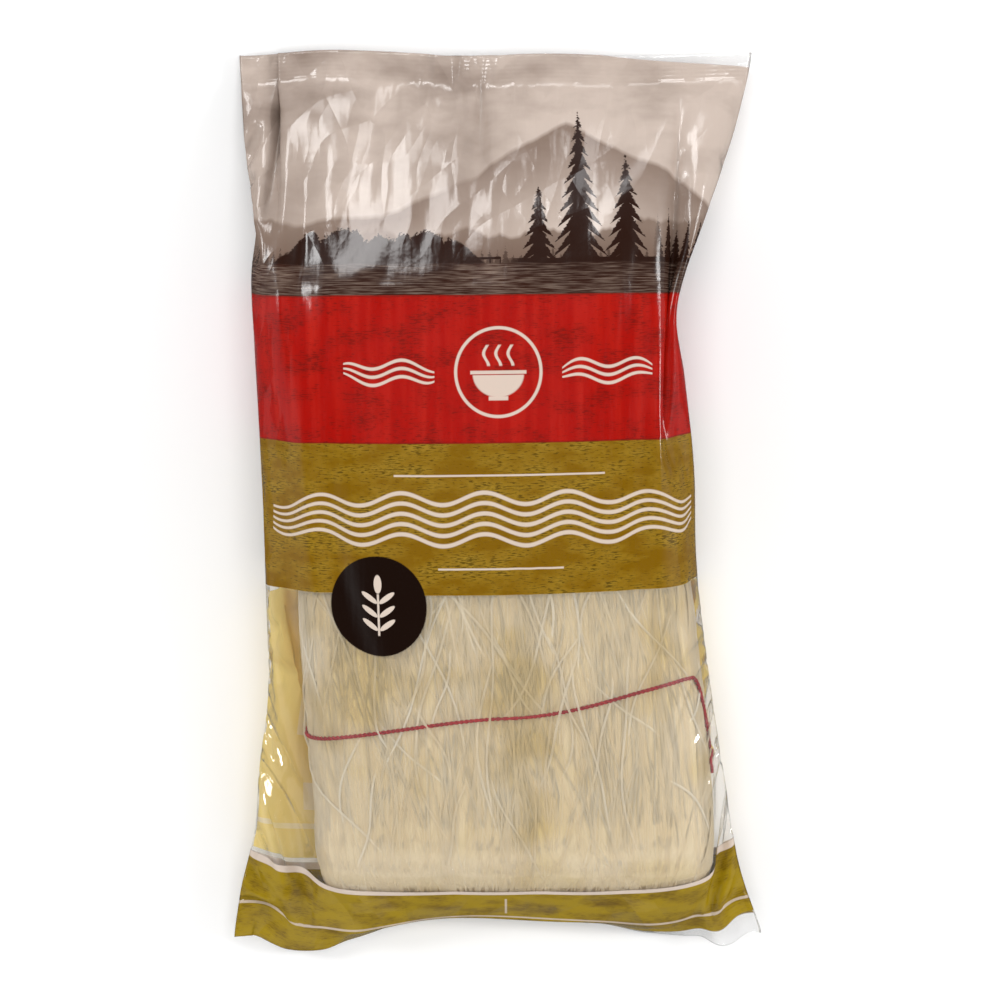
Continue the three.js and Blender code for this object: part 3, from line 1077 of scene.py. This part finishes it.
def window_film_finish(film, layout, inks):
    """Clear film of the window, with the lower part of the round mark on it."""
    finish = Finish("clear_film")
    a, v = film_place(finish, film)
    normal = finish.bump(film_relief(finish, film, a, v))
    ink = finish.mix(sprig_mask(layout, a, v), inks.disc, inks.pale)
    clear = clear_shader(finish, normal)
    printed = ink_shader(finish, ink, normal, a, v)
    return finish.surface(finish.blend(disc_mask(layout, a, v), clear, printed))


def see_through_patches(finish, place):
    """1 in the few patches where the noodles turn yellow: painted light of the yellow back print
    shining through the bundle.
    """
    return finish.noise(place, scale=32, detail=2).above(0.585, 0.08)


def noodle_finish(noodles, name, pale, clearness):
    """Dry starch strands: from shaded to pale, each of its own tone, duller and cloudier in
    places, with the soft shine of horn. Clearness is the share of what lies behind that shows
    through."""
    finish = Finish(name)
    uv = finish.node("ShaderNodeUVMap", {"uv_map": "sheet"})
    tone, _, _ = finish.split(uv)
    place = finish.node("ShaderNodeTexCoord", {}, {}, "Object")
    cloudy = finish.noise(place, scale=60, detail=2)
    fine = finish.noise(place, scale=900, detail=1)
    share = tone * 0.7 + (cloudy - 0.5) * 0.9 + (fine - 0.5) * 0.25 + 0.1
    base = finish.mix(share.math("ADD", 0.0, clamp=True), noodles.shade, pale)
    # Painted light: patches of yellow where the back print shines through the bundle.
    base = finish.mix(see_through_patches(finish, place) * 0.7, base, noodles.yellow)
    sockets = {"Base Color": base, "Roughness": fine * 0.2 + 0.3, "IOR": 1.5}
    body = finish.node("ShaderNodeBsdfPrincipled", {}, sockets)
    through_strand = finish.node("ShaderNodeBsdfTransparent", {}, {"Color": (1.0, 0.99, 0.97)})
    lit = finish.node("ShaderNodeBsdfTranslucent", {}, {"Color": noodles.shade})
    # A strand's far wall, seen from its inside, adds nothing.
    inside = finish.node("ShaderNodeNewGeometry", {}, {}, "Backfacing")
    shown = inside.most(clearness)
    return finish.surface(finish.blend(shown, finish.blend(0.4, body, lit), through_strand))


def core_finish(noodles):
    """The bundle below its outer strands: lengthwise fibres, pale over a darker core colour that is
    partly painted shade of the gaps between the strands.
    """
    finish = Finish("noodle_core")
    place = finish.node("ShaderNodeTexCoord", {}, {}, "Object")
    x, y, z = finish.split(place)
    fibres = finish.noise(finish.point(x / (0.9 * MM), y / (26 * MM), z / (0.9 * MM)), detail=2)
    patches = finish.noise(finish.point(x / (14 * MM), y / (22 * MM), z / (14 * MM)), detail=2)
    share = (fibres - 0.42) * 2.2 + (patches - 0.5) * 0.8
    base = finish.mix(share.math("ADD", 0.0, clamp=True) * 0.4, noodles.core, noodles.shade)
    # The same painted see-through yellow of the back print, in patches.
    base = finish.mix(see_through_patches(finish, place) * 0.8, base, noodles.yellow)
    normal = finish.bump(fibres * (0.3 * MM))
    sockets = {"Base Color": base, "Roughness": 0.5, "Normal": normal}
    return finish.surface(finish.node("ShaderNodeBsdfPrincipled", {}, sockets))


# Painted shade between the thread's fibres, as linear values.
THREAD_SHADE = (0.2, 0.004, 0.006)


def thread_finish(thread):
    """Dyed cotton: fine fibres with painted shade between them, and darker in patches a few
    millimetres long.
    """
    finish = Finish("tie_thread")
    place = finish.node("ShaderNodeTexCoord", {}, {}, "Object")
    fibres = finish.noise(place, scale=4200, detail=2)
    patchy = finish.noise(place, scale=240, detail=2)
    # Painted shade in the gaps of the fine fibres, and darker patches a few millimetres across.
    share = (fibres - 0.35) * 1.6 + (patchy - 0.5) * 0.6
    base = finish.mix(share.math("ADD", 0.0, clamp=True), THREAD_SHADE, thread.ink)
    normal = finish.bump(fibres * (0.12 * MM))
    sockets = {"Base Color": base, "Roughness": 0.8, "Normal": normal}
    return finish.surface(finish.node("ShaderNodeBsdfPrincipled", {}, sockets))


def floor_finish():
    """Plain pale studio floor, very slightly uneven."""
    finish = Finish("floor")
    place = finish.node("ShaderNodeTexCoord", {}, {}, "Object")
    uneven = finish.noise(place, scale=3, detail=2)
    base = finish.mix(uneven, (0.95, 0.95, 0.95), (0.97, 0.97, 0.97))
    sockets = {"Base Color": base, "Roughness": 0.7, "Specular IOR Level": 0.1}
    return finish.surface(finish.node("ShaderNodeBsdfPrincipled", {}, sockets))


# ---------------------------------------------------------------- pieces


def sheet_faces(rows, columns, total_columns):
    """Quads of a grid of film points, wound so that the tube's outside is their front."""
    row = rows[:-1, None] * total_columns
    above = rows[1:, None] * total_columns
    here, after = columns[None, :-1] % total_columns, columns[None, 1:] % total_columns
    return np.stack([row + here, row + after, above + after, above + here], -1).reshape(-1, 4)


def sheet_uvs(film, faces, rows, columns):
    """UVs of film quads: a and v of each corner, both divided by the film's length, so that
    they have one scale. Quads that close the tube keep counting up past the last column."""
    a = (faces % columns).astype(float)
    wraps = (a.max(1, keepdims=True) - a) > columns / 2
    a = np.where(wraps, a + columns, a)
    v = faces // columns
    a_share = a * (2 * film.width / columns) / film.length
    return np.stack([a_share, v / (rows - 1)], -1)


def closing_strip(row, columns, half, upper):
    """Quads that close the narrow slot between front and back at one cut end of the film."""
    j = np.arange(1, half - 1)
    front, front_next = row * columns + j, row * columns + j + 1
    back, back_next = row * columns + columns - j, row * columns + columns - j - 1
    if upper:
        return np.stack([front, front_next, back_next, back], -1)
    return np.stack([front, back, back_next, front_next], -1)


def closing_corners(row, columns, half, upper):
    """Triangles that end a closing strip at the two folds."""
    start = row * columns
    left = [start, start + 1, start + columns - 1]
    right = [start + half - 1, start + half, start + half + 1]
    corners = np.array([left, right])
    return corners if upper else corners[:, ::-1]


def end_faces(rows, columns):
    """Quads and triangles that close both ends of a tube of points."""
    half = columns // 2
    ends = ((0, False), (rows - 1, True))
    strips = [closing_strip(row, columns, half, upper) for row, upper in ends]
    corners = [closing_corners(row, columns, half, upper) for row, upper in ends]
    return np.concatenate(strips), np.concatenate(corners)


def make_film(film, layout, inks, noodles):
    """Makes the printed film, the window's clear film and the flap of the back's long seam."""
    p = settled_film(film, noodles)
    rows, columns = p.shape[:2]
    half = columns // 2
    row_of = (rows - 1) / film.length
    low, high = round(layout.window * row_of), round(layout.olive * row_of)
    window_rows, all_round = np.arange(low, high + 1), np.arange(columns + 1)
    strips, corners = end_faces(rows, columns)
    printed = [
        sheet_faces(np.arange(0, low + 1), all_round, columns),
        sheet_faces(window_rows, np.arange(half - 1, columns + 2), columns),
        sheet_faces(np.arange(high, rows), all_round, columns),
        strips,
    ]
    faces = [np.concatenate(printed), corners]
    uvs = [sheet_uvs(film, f, rows, columns) for f in faces]
    material = printed_film_finish(film, layout, inks)
    build_used("film_printed", p, faces, uvs, material)
    window = sheet_faces(window_rows, np.arange(1, half), columns)
    uvs = [sheet_uvs(film, window, rows, columns)]
    clear = window_film_finish(film, layout, inks)
    build_used("film_window", p, [window], uvs, clear)
    make_seam(film, p, material)


def build_used(name, points, faces, uvs, material):
    """build_piece with the points that its faces don't use left out."""
    used = np.unique(np.concatenate([f.reshape(-1) for f in faces]))
    number = np.zeros(points.reshape(-1, 3).shape[0], int)
    number[used] = np.arange(len(used))
    points = points.reshape(-1, 3)[used]
    return build_piece(name, points, [number[f] for f in faces], uvs, material)


SEAM_FROM = 262 * MM
SEAM_TO = 279 * MM
SEAM_CLOSE = 0.12 * MM
SEAM_THICKNESS = 0.3 * MM


def make_seam(film, p, material):
    """The flap of the tube's long seam, folded flat against the back: a thin closed slab whose
    two faces follow the film at fixed distances along its normals."""
    total_rows, columns = p.shape[:2]
    column_width = 2 * film.width / columns
    j = np.arange(round(SEAM_FROM / column_width), round(SEAM_TO / column_width) + 1)
    along = np.gradient(p, axis=0)
    around = (np.roll(p, -1, 1) - np.roll(p, 1, 1)) / 2
    outward = unit(np.cross(around, along))
    near = (p + outward * SEAM_CLOSE)[:, j]
    far = (p + outward * (SEAM_CLOSE + SEAM_THICKNESS))[:, j]
    far[..., 2] = np.maximum(far[..., 2], 0.1 * MM)
    near[..., 2] = np.maximum(near[..., 2], far[..., 2] + 0.1 * MM)
    ring = np.concatenate([far, near[:, ::-1]], 1)
    ring_size = ring.shape[1]
    quads = sheet_faces(np.arange(total_rows), np.arange(ring_size + 1), ring_size)
    n = len(j)
    k = np.arange(n - 1)
    last = (total_rows - 1) * ring_size
    lower = np.stack([k, ring_size - 1 - k, ring_size - 2 - k, k + 1], -1)
    upper = last + lower[:, ::-1]
    faces = np.concatenate([quads, lower, upper])
    place = faces % ring_size
    a = SEAM_FROM + np.where(place < n, place, ring_size - 1 - place) * column_width
    v = faces // ring_size * (film.length / (total_rows - 1))
    uvs = [np.stack([a / film.length, v / film.length], -1)]
    build_piece("back_seam", ring, [faces], uvs, material)


LONG_STEPS = 22
# The lower half of a long strand, which the window shows, takes this share of its steps.
DENSE_SHARE = 0.62
# The slow waves that run through a strand: their length and usual height in millimetres.
STRAND_WAVES = ((165, 5.5), (72, 1.8), (33, 0.4))
# How deep the outer strands lie one under another, and how far each goes up and down.
LAYER_DEPTH = 0.95 * MM
LAYER_DRIFT = 0.3 * MM


def long_strands(noodles, rng):
    """Strands along the bundle, in a few layers under its surface.

    Each keeps a share of the way round the section, plus slow sideways waves, and goes up and
    down between the layers. Its ends are drawn in with the bundle's own rounded ends.
    """
    count = noodles.lengthwise
    share = rng.random((count, 1))
    steps = np.linspace(0, 1, LONG_STEPS)[None, :]
    steps = np.interp(steps, [0, DENSE_SHARE, 1], [0, 0.5, 1])
    low = BUNDLE_LOW + rng.random((count, 1)) ** 2 * 5 * MM + 0.5 * MM
    high = BUNDLE_HIGH - rng.random((count, 1)) ** 2 * 12 * MM - 1 * MM
    y = low + (high - low) * steps
    _, girth = angle_at(noodles, share)
    side = 0 * y
    for wave, size in STRAND_WAVES:
        phase = rng.random((count, 1)) * 2 * np.pi
        swing = rng.normal(0, size, (count, 1)) * MM
        side = side + swing * np.sin(y / (wave * MM) * 2 * np.pi + phase)
    layer = rng.random((count, 1)) * LAYER_DEPTH
    drift = LAYER_DRIFT * np.sin(y / (rng.uniform(14, 30, (count, 1)) * MM) + share * 90)
    inset = noodles.radius + 0.05 * MM + np.maximum(layer + drift, 0)
    angle, _ = angle_at(noodles, share + side / girth)
    return bundle_point(noodles, angle, y, inset)


CROSSING_STEPS = 18
# How much of a strand's shading follows the bundle's surface instead of its own.
SOFT_SHARE = 0.82


def crossing_strands(noodles, rng):
    """Stray strands that lie aslant over the others: each a shallow arc across the surface,
    which dives in under the outer layer at both ends."""
    count = noodles.crossing
    t = np.linspace(0, 1, CROSSING_STEPS)[None, :]
    length_of = rng.uniform(26, 95, (count, 1)) * MM
    heading = rng.normal(0, 0.34, (count, 1))
    curve = rng.normal(0, 0.6, (count, 1))
    turn = heading + curve * (t - 0.5) + 0.12 * np.sin(t * 9 + rng.random((count, 1)) * 6)
    step = length_of / (CROSSING_STEPS - 1)
    start = rng.uniform(BUNDLE_LOW + 8 * MM, BUNDLE_HIGH - 30 * MM, (count, 1))
    y = np.clip(start + np.cumsum(np.cos(turn), 1) * step, BUNDLE_LOW, BUNDLE_HIGH)
    side = np.cumsum(np.sin(turn), 1) * step
    _, girth = angle_at(noodles, t)
    angle, _ = angle_at(noodles, rng.random((count, 1)) + side / girth)
    dive = np.abs(2 * t - 1) ** 4 * 1.8 * MM
    inset = rng.uniform(-0.15, 0.5, (count, 1)) * MM + dive
    # A few lie over the thread.
    over = rng.random((count, 1)) < 0.3
    off_thread = (y - through(THREAD_ROUTE)(np.degrees(angle) * MM)) / (5 * MM)
    inset = np.where(over, inset - 1.0 * MM * np.exp(-(off_thread**2)), inset)
    return bundle_point(noodles, angle, y, inset)


def make_strands(name, noodles, paths, outward, sides, seed, material):
    """Puts strands of slightly different thickness and tone into one piece."""
    rng = np.random.default_rng(seed)
    count, steps = paths.shape[:2]
    radius = noodles.radius * rng.uniform(0.88, 1.1, (count, 1))
    points, faces = tubes(paths, outward, radius, sides)
    uvs = tube_uvs(faces, steps * sides, sides, rng.random(count))
    # Light spreads through the strands, so they are shaded more as the bundle's surface is.
    own = unit(points - paths[:, :, None])
    normals = unit(own * (1 - SOFT_SHARE) + outward[:, :, None] * SOFT_SHARE)
    return build_piece(name, points, faces, uvs, material, normals)


CORE_ROWS = 150
CORE_COLUMNS = 220
CORE_INSET = 0.8 * MM


def make_core(noodles):
    """The bundle's solid middle: its own form, drawn in by the outer strands' thickness."""
    rows, columns = CORE_ROWS, CORE_COLUMNS
    low, high = BUNDLE_LOW + 1.5 * MM, BUNDLE_HIGH - 3 * MM
    y = np.linspace(low, high, rows)[:, None]
    share = (0.5 - np.arange(columns) / columns)[None, :]
    angle, _ = angle_at(noodles, share)
    rng = np.random.default_rng(noodles.seed)
    wave = np.sin(angle * 23 + rng.random() * 6) * np.sin(angle * 37 + y / (30 * MM))
    points, _ = bundle_point(noodles, angle, y, CORE_INSET + 0.15 * MM * wave)
    strips, corners = end_faces(rows, columns)
    around = sheet_faces(np.arange(rows), np.arange(columns + 1), columns)
    faces = [np.concatenate([around, strips]), corners]
    uvs = [np.stack([f % columns / columns, f // columns / rows], -1) for f in faces]
    return build_piece("noodle_core", points, faces, uvs, core_finish(noodles))


# The thread's way round the bundle: degrees from +X over the top, and the place along the pack.
THREAD_ROUTE = [
    (0, -82), (8, -70), (15, -58.5), (20, -54.6), (27, -54), (40, -54.8), (55, -56.8),
    (90, -65.2), (125, -71.3), (150, -73.9), (180, -74.6), (230, -75), (270, -77), (320, -82),
    (345, -85), (360, -82),
]
THREAD_STEPS = 900
PLY_SIDES = 7
KNOT_SIDES = 8
KNOT_SIZE = 0.46 * MM
# The knot's two tails: how far each reaches along the pack, its bend and how far it sinks.
TAILS = ((-8, 0.5, -2.0), (-6, 1.4, 2.6))
TAIL_STEPS = 24


def thread_path(noodles, proud):
    """The middle of the thread, all round the bundle and a little proud of its strands."""
    degrees = np.arange(THREAD_STEPS) / THREAD_STEPS * 360
    y = through(THREAD_ROUTE)(degrees * MM)
    return bundle_point(noodles, np.radians(degrees), y, -proud)


def make_thread(noodles, thread):
    """Two plies twisted round each other along one closed path, and the knot that ties it."""
    middle, outward = thread_path(noodles, 0.15 * MM)
    tangent = unit(np.roll(middle, -1, 0) - np.roll(middle, 1, 0))
    outward = unit(outward - np.sum(outward * tangent, -1, keepdims=True) * tangent)
    sideways = np.cross(tangent, outward)
    steps = np.linalg.norm(np.roll(middle, -1, 0) - middle, axis=-1)
    turns = round(steps.sum() / thread.pitch)
    phase = (np.cumsum(steps) - steps[0]) / steps.sum() * turns * 2 * np.pi
    plies = []
    for start in (0, np.pi):
        lean = phase + start
        offset = np.cos(lean)[:, None] * outward + np.sin(lean)[:, None] * sideways
        plies.append(middle + offset * thread.ply_radius * 0.94)
    paths = np.stack(plies)
    frames = np.stack([outward, outward])
    material = thread_finish(thread)
    points, faces = tubes(paths, frames, thread.ply_radius, PLY_SIDES, closed=True)
    uvs = tube_uvs(faces, THREAD_STEPS * PLY_SIDES, PLY_SIDES, np.array([0.2, 0.8]))
    build_piece("tie_thread", points, faces, uvs, material)
    make_knot(noodles, thread, middle[0], material)


KNOT_HALF_DEPTH = 22.6 * MM


def make_knot(noodles, thread, place, material):
    """The knot, a trefoil drawn tight, and its two short tails along the bundle's side."""
    t = np.linspace(0, 2 * np.pi, 120, endpoint=False)
    trefoil = np.stack(
        [-np.sin(3 * t), np.sin(t) + 2 * np.sin(2 * t), np.cos(t) - 2 * np.cos(2 * t)], -1
    )
    loop = place + trefoil * KNOT_SIZE + np.array([0.3, 0, 0]) * MM
    frames = unit(loop - place)[None]
    radius = thread.ply_radius * 1.25
    knot, knot_faces = tubes(loop[None], frames, radius, KNOT_SIDES, closed=True)
    s = np.linspace(0, 1, TAIL_STEPS)
    tails = []
    for reach, bend, sink in TAILS:
        y = place[1] + reach * MM * s
        drop = sink * MM * s + bend * MM * np.sin(s * 5)
        angle = np.arcsin(np.clip(drop / KNOT_HALF_DEPTH, -1, 1))
        path, _ = bundle_point(noodles, angle, y, -0.35 * MM)
        tails.append(path)
    paths = np.stack(tails)
    radii = thread.ply_radius * np.linspace(1.2, 1.6, TAIL_STEPS)[None, :]
    sideways = np.zeros_like(paths)
    sideways[..., 0] = 1
    ends, tail_faces = tubes(paths, sideways, radii, KNOT_SIDES)
    count = knot.reshape(-1, 3).shape[0]
    points = np.concatenate([knot.reshape(-1, 3), ends.reshape(-1, 3)])
    faces = [np.concatenate([knot_faces[0], tail_faces[0] + count]), tail_faces[1] + count]
    uvs = [np.zeros((*f.shape, 2)) for f in faces]
    build_piece("tie_knot", points, faces, uvs, material)


# ---------------------------------------------------------------- stage

TARGET = Vector((0, 3 * MM, 22 * MM))
SENSOR = 36.0
PHOTO_PIXELS = 1000


def area_light(name, place, size, power, target=(0, 0, 0.02)):
    """A square soft light that faces the target. Returns its object."""
    light = bpy.data.lights.new(name, "AREA")
    light.size = size
    light.energy = power
    lamp = bpy.data.objects.new(name, light)
    lamp.location = place
    lamp.rotation_euler = (Vector(target) - Vector(place)).to_track_quat("-Z", "Y").to_euler()
    bpy.context.scene.collection.objects.link(lamp)
    return lamp


def room_light(stage):
    """Even light from the walls of the studio, which falls off towards its dark ceiling and
    below the floor."""
    world = bpy.data.worlds.new("room")
    world.use_nodes = True
    tree = world.node_tree
    place = tree.nodes.new("ShaderNodeTexCoord")
    split = tree.nodes.new("ShaderNodeSeparateXYZ")
    tree.links.new(place.outputs["Generated"], split.inputs[0])
    both = tree.nodes.new("ShaderNodeMath")
    both.operation = "MULTIPLY"
    for i, (start, end, first, last) in enumerate(
        ((0.5, 0.92, stage.walls, stage.ceiling), (-0.12, 0.0, stage.underside, 1.0))
    ):
        fall = tree.nodes.new("ShaderNodeMapRange")
        fall.interpolation_type = "SMOOTHSTEP"
        fall.inputs["From Min"].default_value = start
        fall.inputs["From Max"].default_value = end
        fall.inputs["To Min"].default_value = first
        fall.inputs["To Max"].default_value = last
        tree.links.new(split.outputs["Z"], fall.inputs["Value"])
        tree.links.new(fall.outputs["Result"], both.inputs[i])
    background = tree.nodes["Background"]
    background.inputs["Color"].default_value = (1, 1, 1, 1)
    tree.links.new(both.outputs[0], background.inputs["Strength"])
    return world


def make_stage(stage):
    """Pale floor, soft lights on all sides and overhead, even room light, and the camera."""
    mesh = bpy.data.meshes.new("floor")
    reach = 4.0
    corners = [(-reach, -reach, 0), (reach, -reach, 0), (reach, reach, 0), (-reach, reach, 0)]
    mesh.from_pydata(corners, [], [(0, 1, 2, 3)])
    mesh.materials.append(floor_finish())
    floor = bpy.data.objects.new("floor", mesh)
    bpy.context.scene.collection.objects.link(floor)
    # The film shows no white floor in its steep sides, only the dim room below it.
    floor.visible_glossy = False
    area_light("light_left", (-1.3, 0.5, 0.95), 0.34, stage.side_lights)
    area_light("light_right", (1.3, 0.2, 0.9), 0.34, stage.side_lights)
    area_light("light_end", (0.1, 1.6, 1.0), 0.5, stage.end_light)
    front = area_light("light_front", (0.2, -1.5, 0.4), 0.35, stage.front_light)
    # A polarised light, so that no shine hides the bundle's lower end.
    front.visible_glossy = False
    gleam = area_light("light_gleam", (-0.42, 1.15, 1.1), 0.6, stage.gleam_light)
    # It only makes the folds of the slack film gleam.
    gleam.visible_diffuse = False
    overhead = area_light("light_top", (0.0, 0.3, 2.6), 2.0, stage.top_light)
    # Another polarised one: it lights the print and the noodles and leaves no shine on the film.
    overhead.visible_glossy = False
    bpy.context.scene.world = room_light(stage)
    bpy.context.scene.view_settings.view_transform = "Standard"
    lens = bpy.data.cameras.new("camera")
    lens.sensor_width = SENSOR
    lens.lens = SENSOR * stage.distance / (stage.pixel * PHOTO_PIXELS)
    camera = bpy.data.objects.new("camera", lens)
    lean = Vector((0, math.sin(stage.tilt), math.cos(stage.tilt)))
    camera.location = TARGET + stage.distance * lean
    camera.rotation_euler = (-stage.tilt, 0, 0)
    bpy.context.scene.collection.objects.link(camera)
    bpy.context.scene.camera = camera


# ---------------------------------------------------------------- operators and panel


class NOODLEPACK_OT_film(bpy.types.Operator):
    """Settle the film over the bundle and print it"""

    bl_idname = "noodlepack.film"
    bl_label = "Film"

    def execute(self, context):
        s = context.scene.noodle_pack
        make_film(s.film, s.layout, s.inks, s.noodles)
        return {"FINISHED"}


class NOODLEPACK_OT_noodles(bpy.types.Operator):
    """Lay the noodles: core, long strands and crossing strands"""

    bl_idname = "noodlepack.noodles"
    bl_label = "Noodles"

    def execute(self, context):
        noodles = context.scene.noodle_pack.noodles
        rng = np.random.default_rng(noodles.seed)
        make_core(noodles)
        paths, outward = long_strands(noodles, rng)
        material = noodle_finish(noodles, "noodle_strands", noodles.strand, 0.2)
        make_strands("noodles_lengthwise", noodles, paths, outward, 3, 1, material)
        paths, outward = crossing_strands(noodles, rng)
        # A lighter colour for the strands on top: painted light.
        material = noodle_finish(noodles, "stray_strands", noodles.stray, 0.15)
        make_strands("noodles_crossing", noodles, paths, outward, 4, 2, material)
        return {"FINISHED"}


class NOODLEPACK_OT_thread(bpy.types.Operator):
    """Tie the thread round the bundle"""

    bl_idname = "noodlepack.thread"
    bl_label = "Tie thread"

    def execute(self, context):
        s = context.scene.noodle_pack
        make_thread(s.noodles, s.thread)
        return {"FINISHED"}


class NOODLEPACK_OT_stage(bpy.types.Operator):
    """Set up the floor, the lights and the camera"""

    bl_idname = "noodlepack.stage"
    bl_label = "Stage"

    def execute(self, context):
        make_stage(context.scene.noodle_pack.stage)
        return {"FINISHED"}


class NOODLEPACK_PT_panel(bpy.types.Panel):
    """Buttons for the pieces, in the order in which they are made"""

    bl_label = "Noodle Pack"
    bl_idname = "NOODLEPACK_PT_panel"
    bl_space_type = "VIEW_3D"
    bl_region_type = "UI"
    bl_category = "Noodle Pack"

    def draw(self, context):
        for operator in (
            NOODLEPACK_OT_stage,
            NOODLEPACK_OT_film,
            NOODLEPACK_OT_noodles,
            NOODLEPACK_OT_thread,
        ):
            self.layout.operator(operator.bl_idname)


CLASSES = (
    FilmSizes,
    PrintLayout,
    PrintColours,
    NoodleSizes,
    ThreadSizes,
    StageSizes,
    PackSettings,
    NOODLEPACK_OT_film,
    NOODLEPACK_OT_noodles,
    NOODLEPACK_OT_thread,
    NOODLEPACK_OT_stage,
    NOODLEPACK_PT_panel,
)


def register():
    """Registers the classes and the scene's settings."""
    for cls in CLASSES:
        bpy.utils.register_class(cls)
    bpy.types.Scene.noodle_pack = PointerProperty(type=PackSettings)


def unregister():
    """Takes the settings and the classes out again."""
    del bpy.types.Scene.noodle_pack
    for cls in reversed(CLASSES):
        bpy.utils.unregister_class(cls)


def main():
    register()
    bpy.ops.noodlepack.stage()
    bpy.ops.noodlepack.film()
    bpy.ops.noodlepack.noodles()
    bpy.ops.noodlepack.thread()


if __name__ == "__main__":
    main()
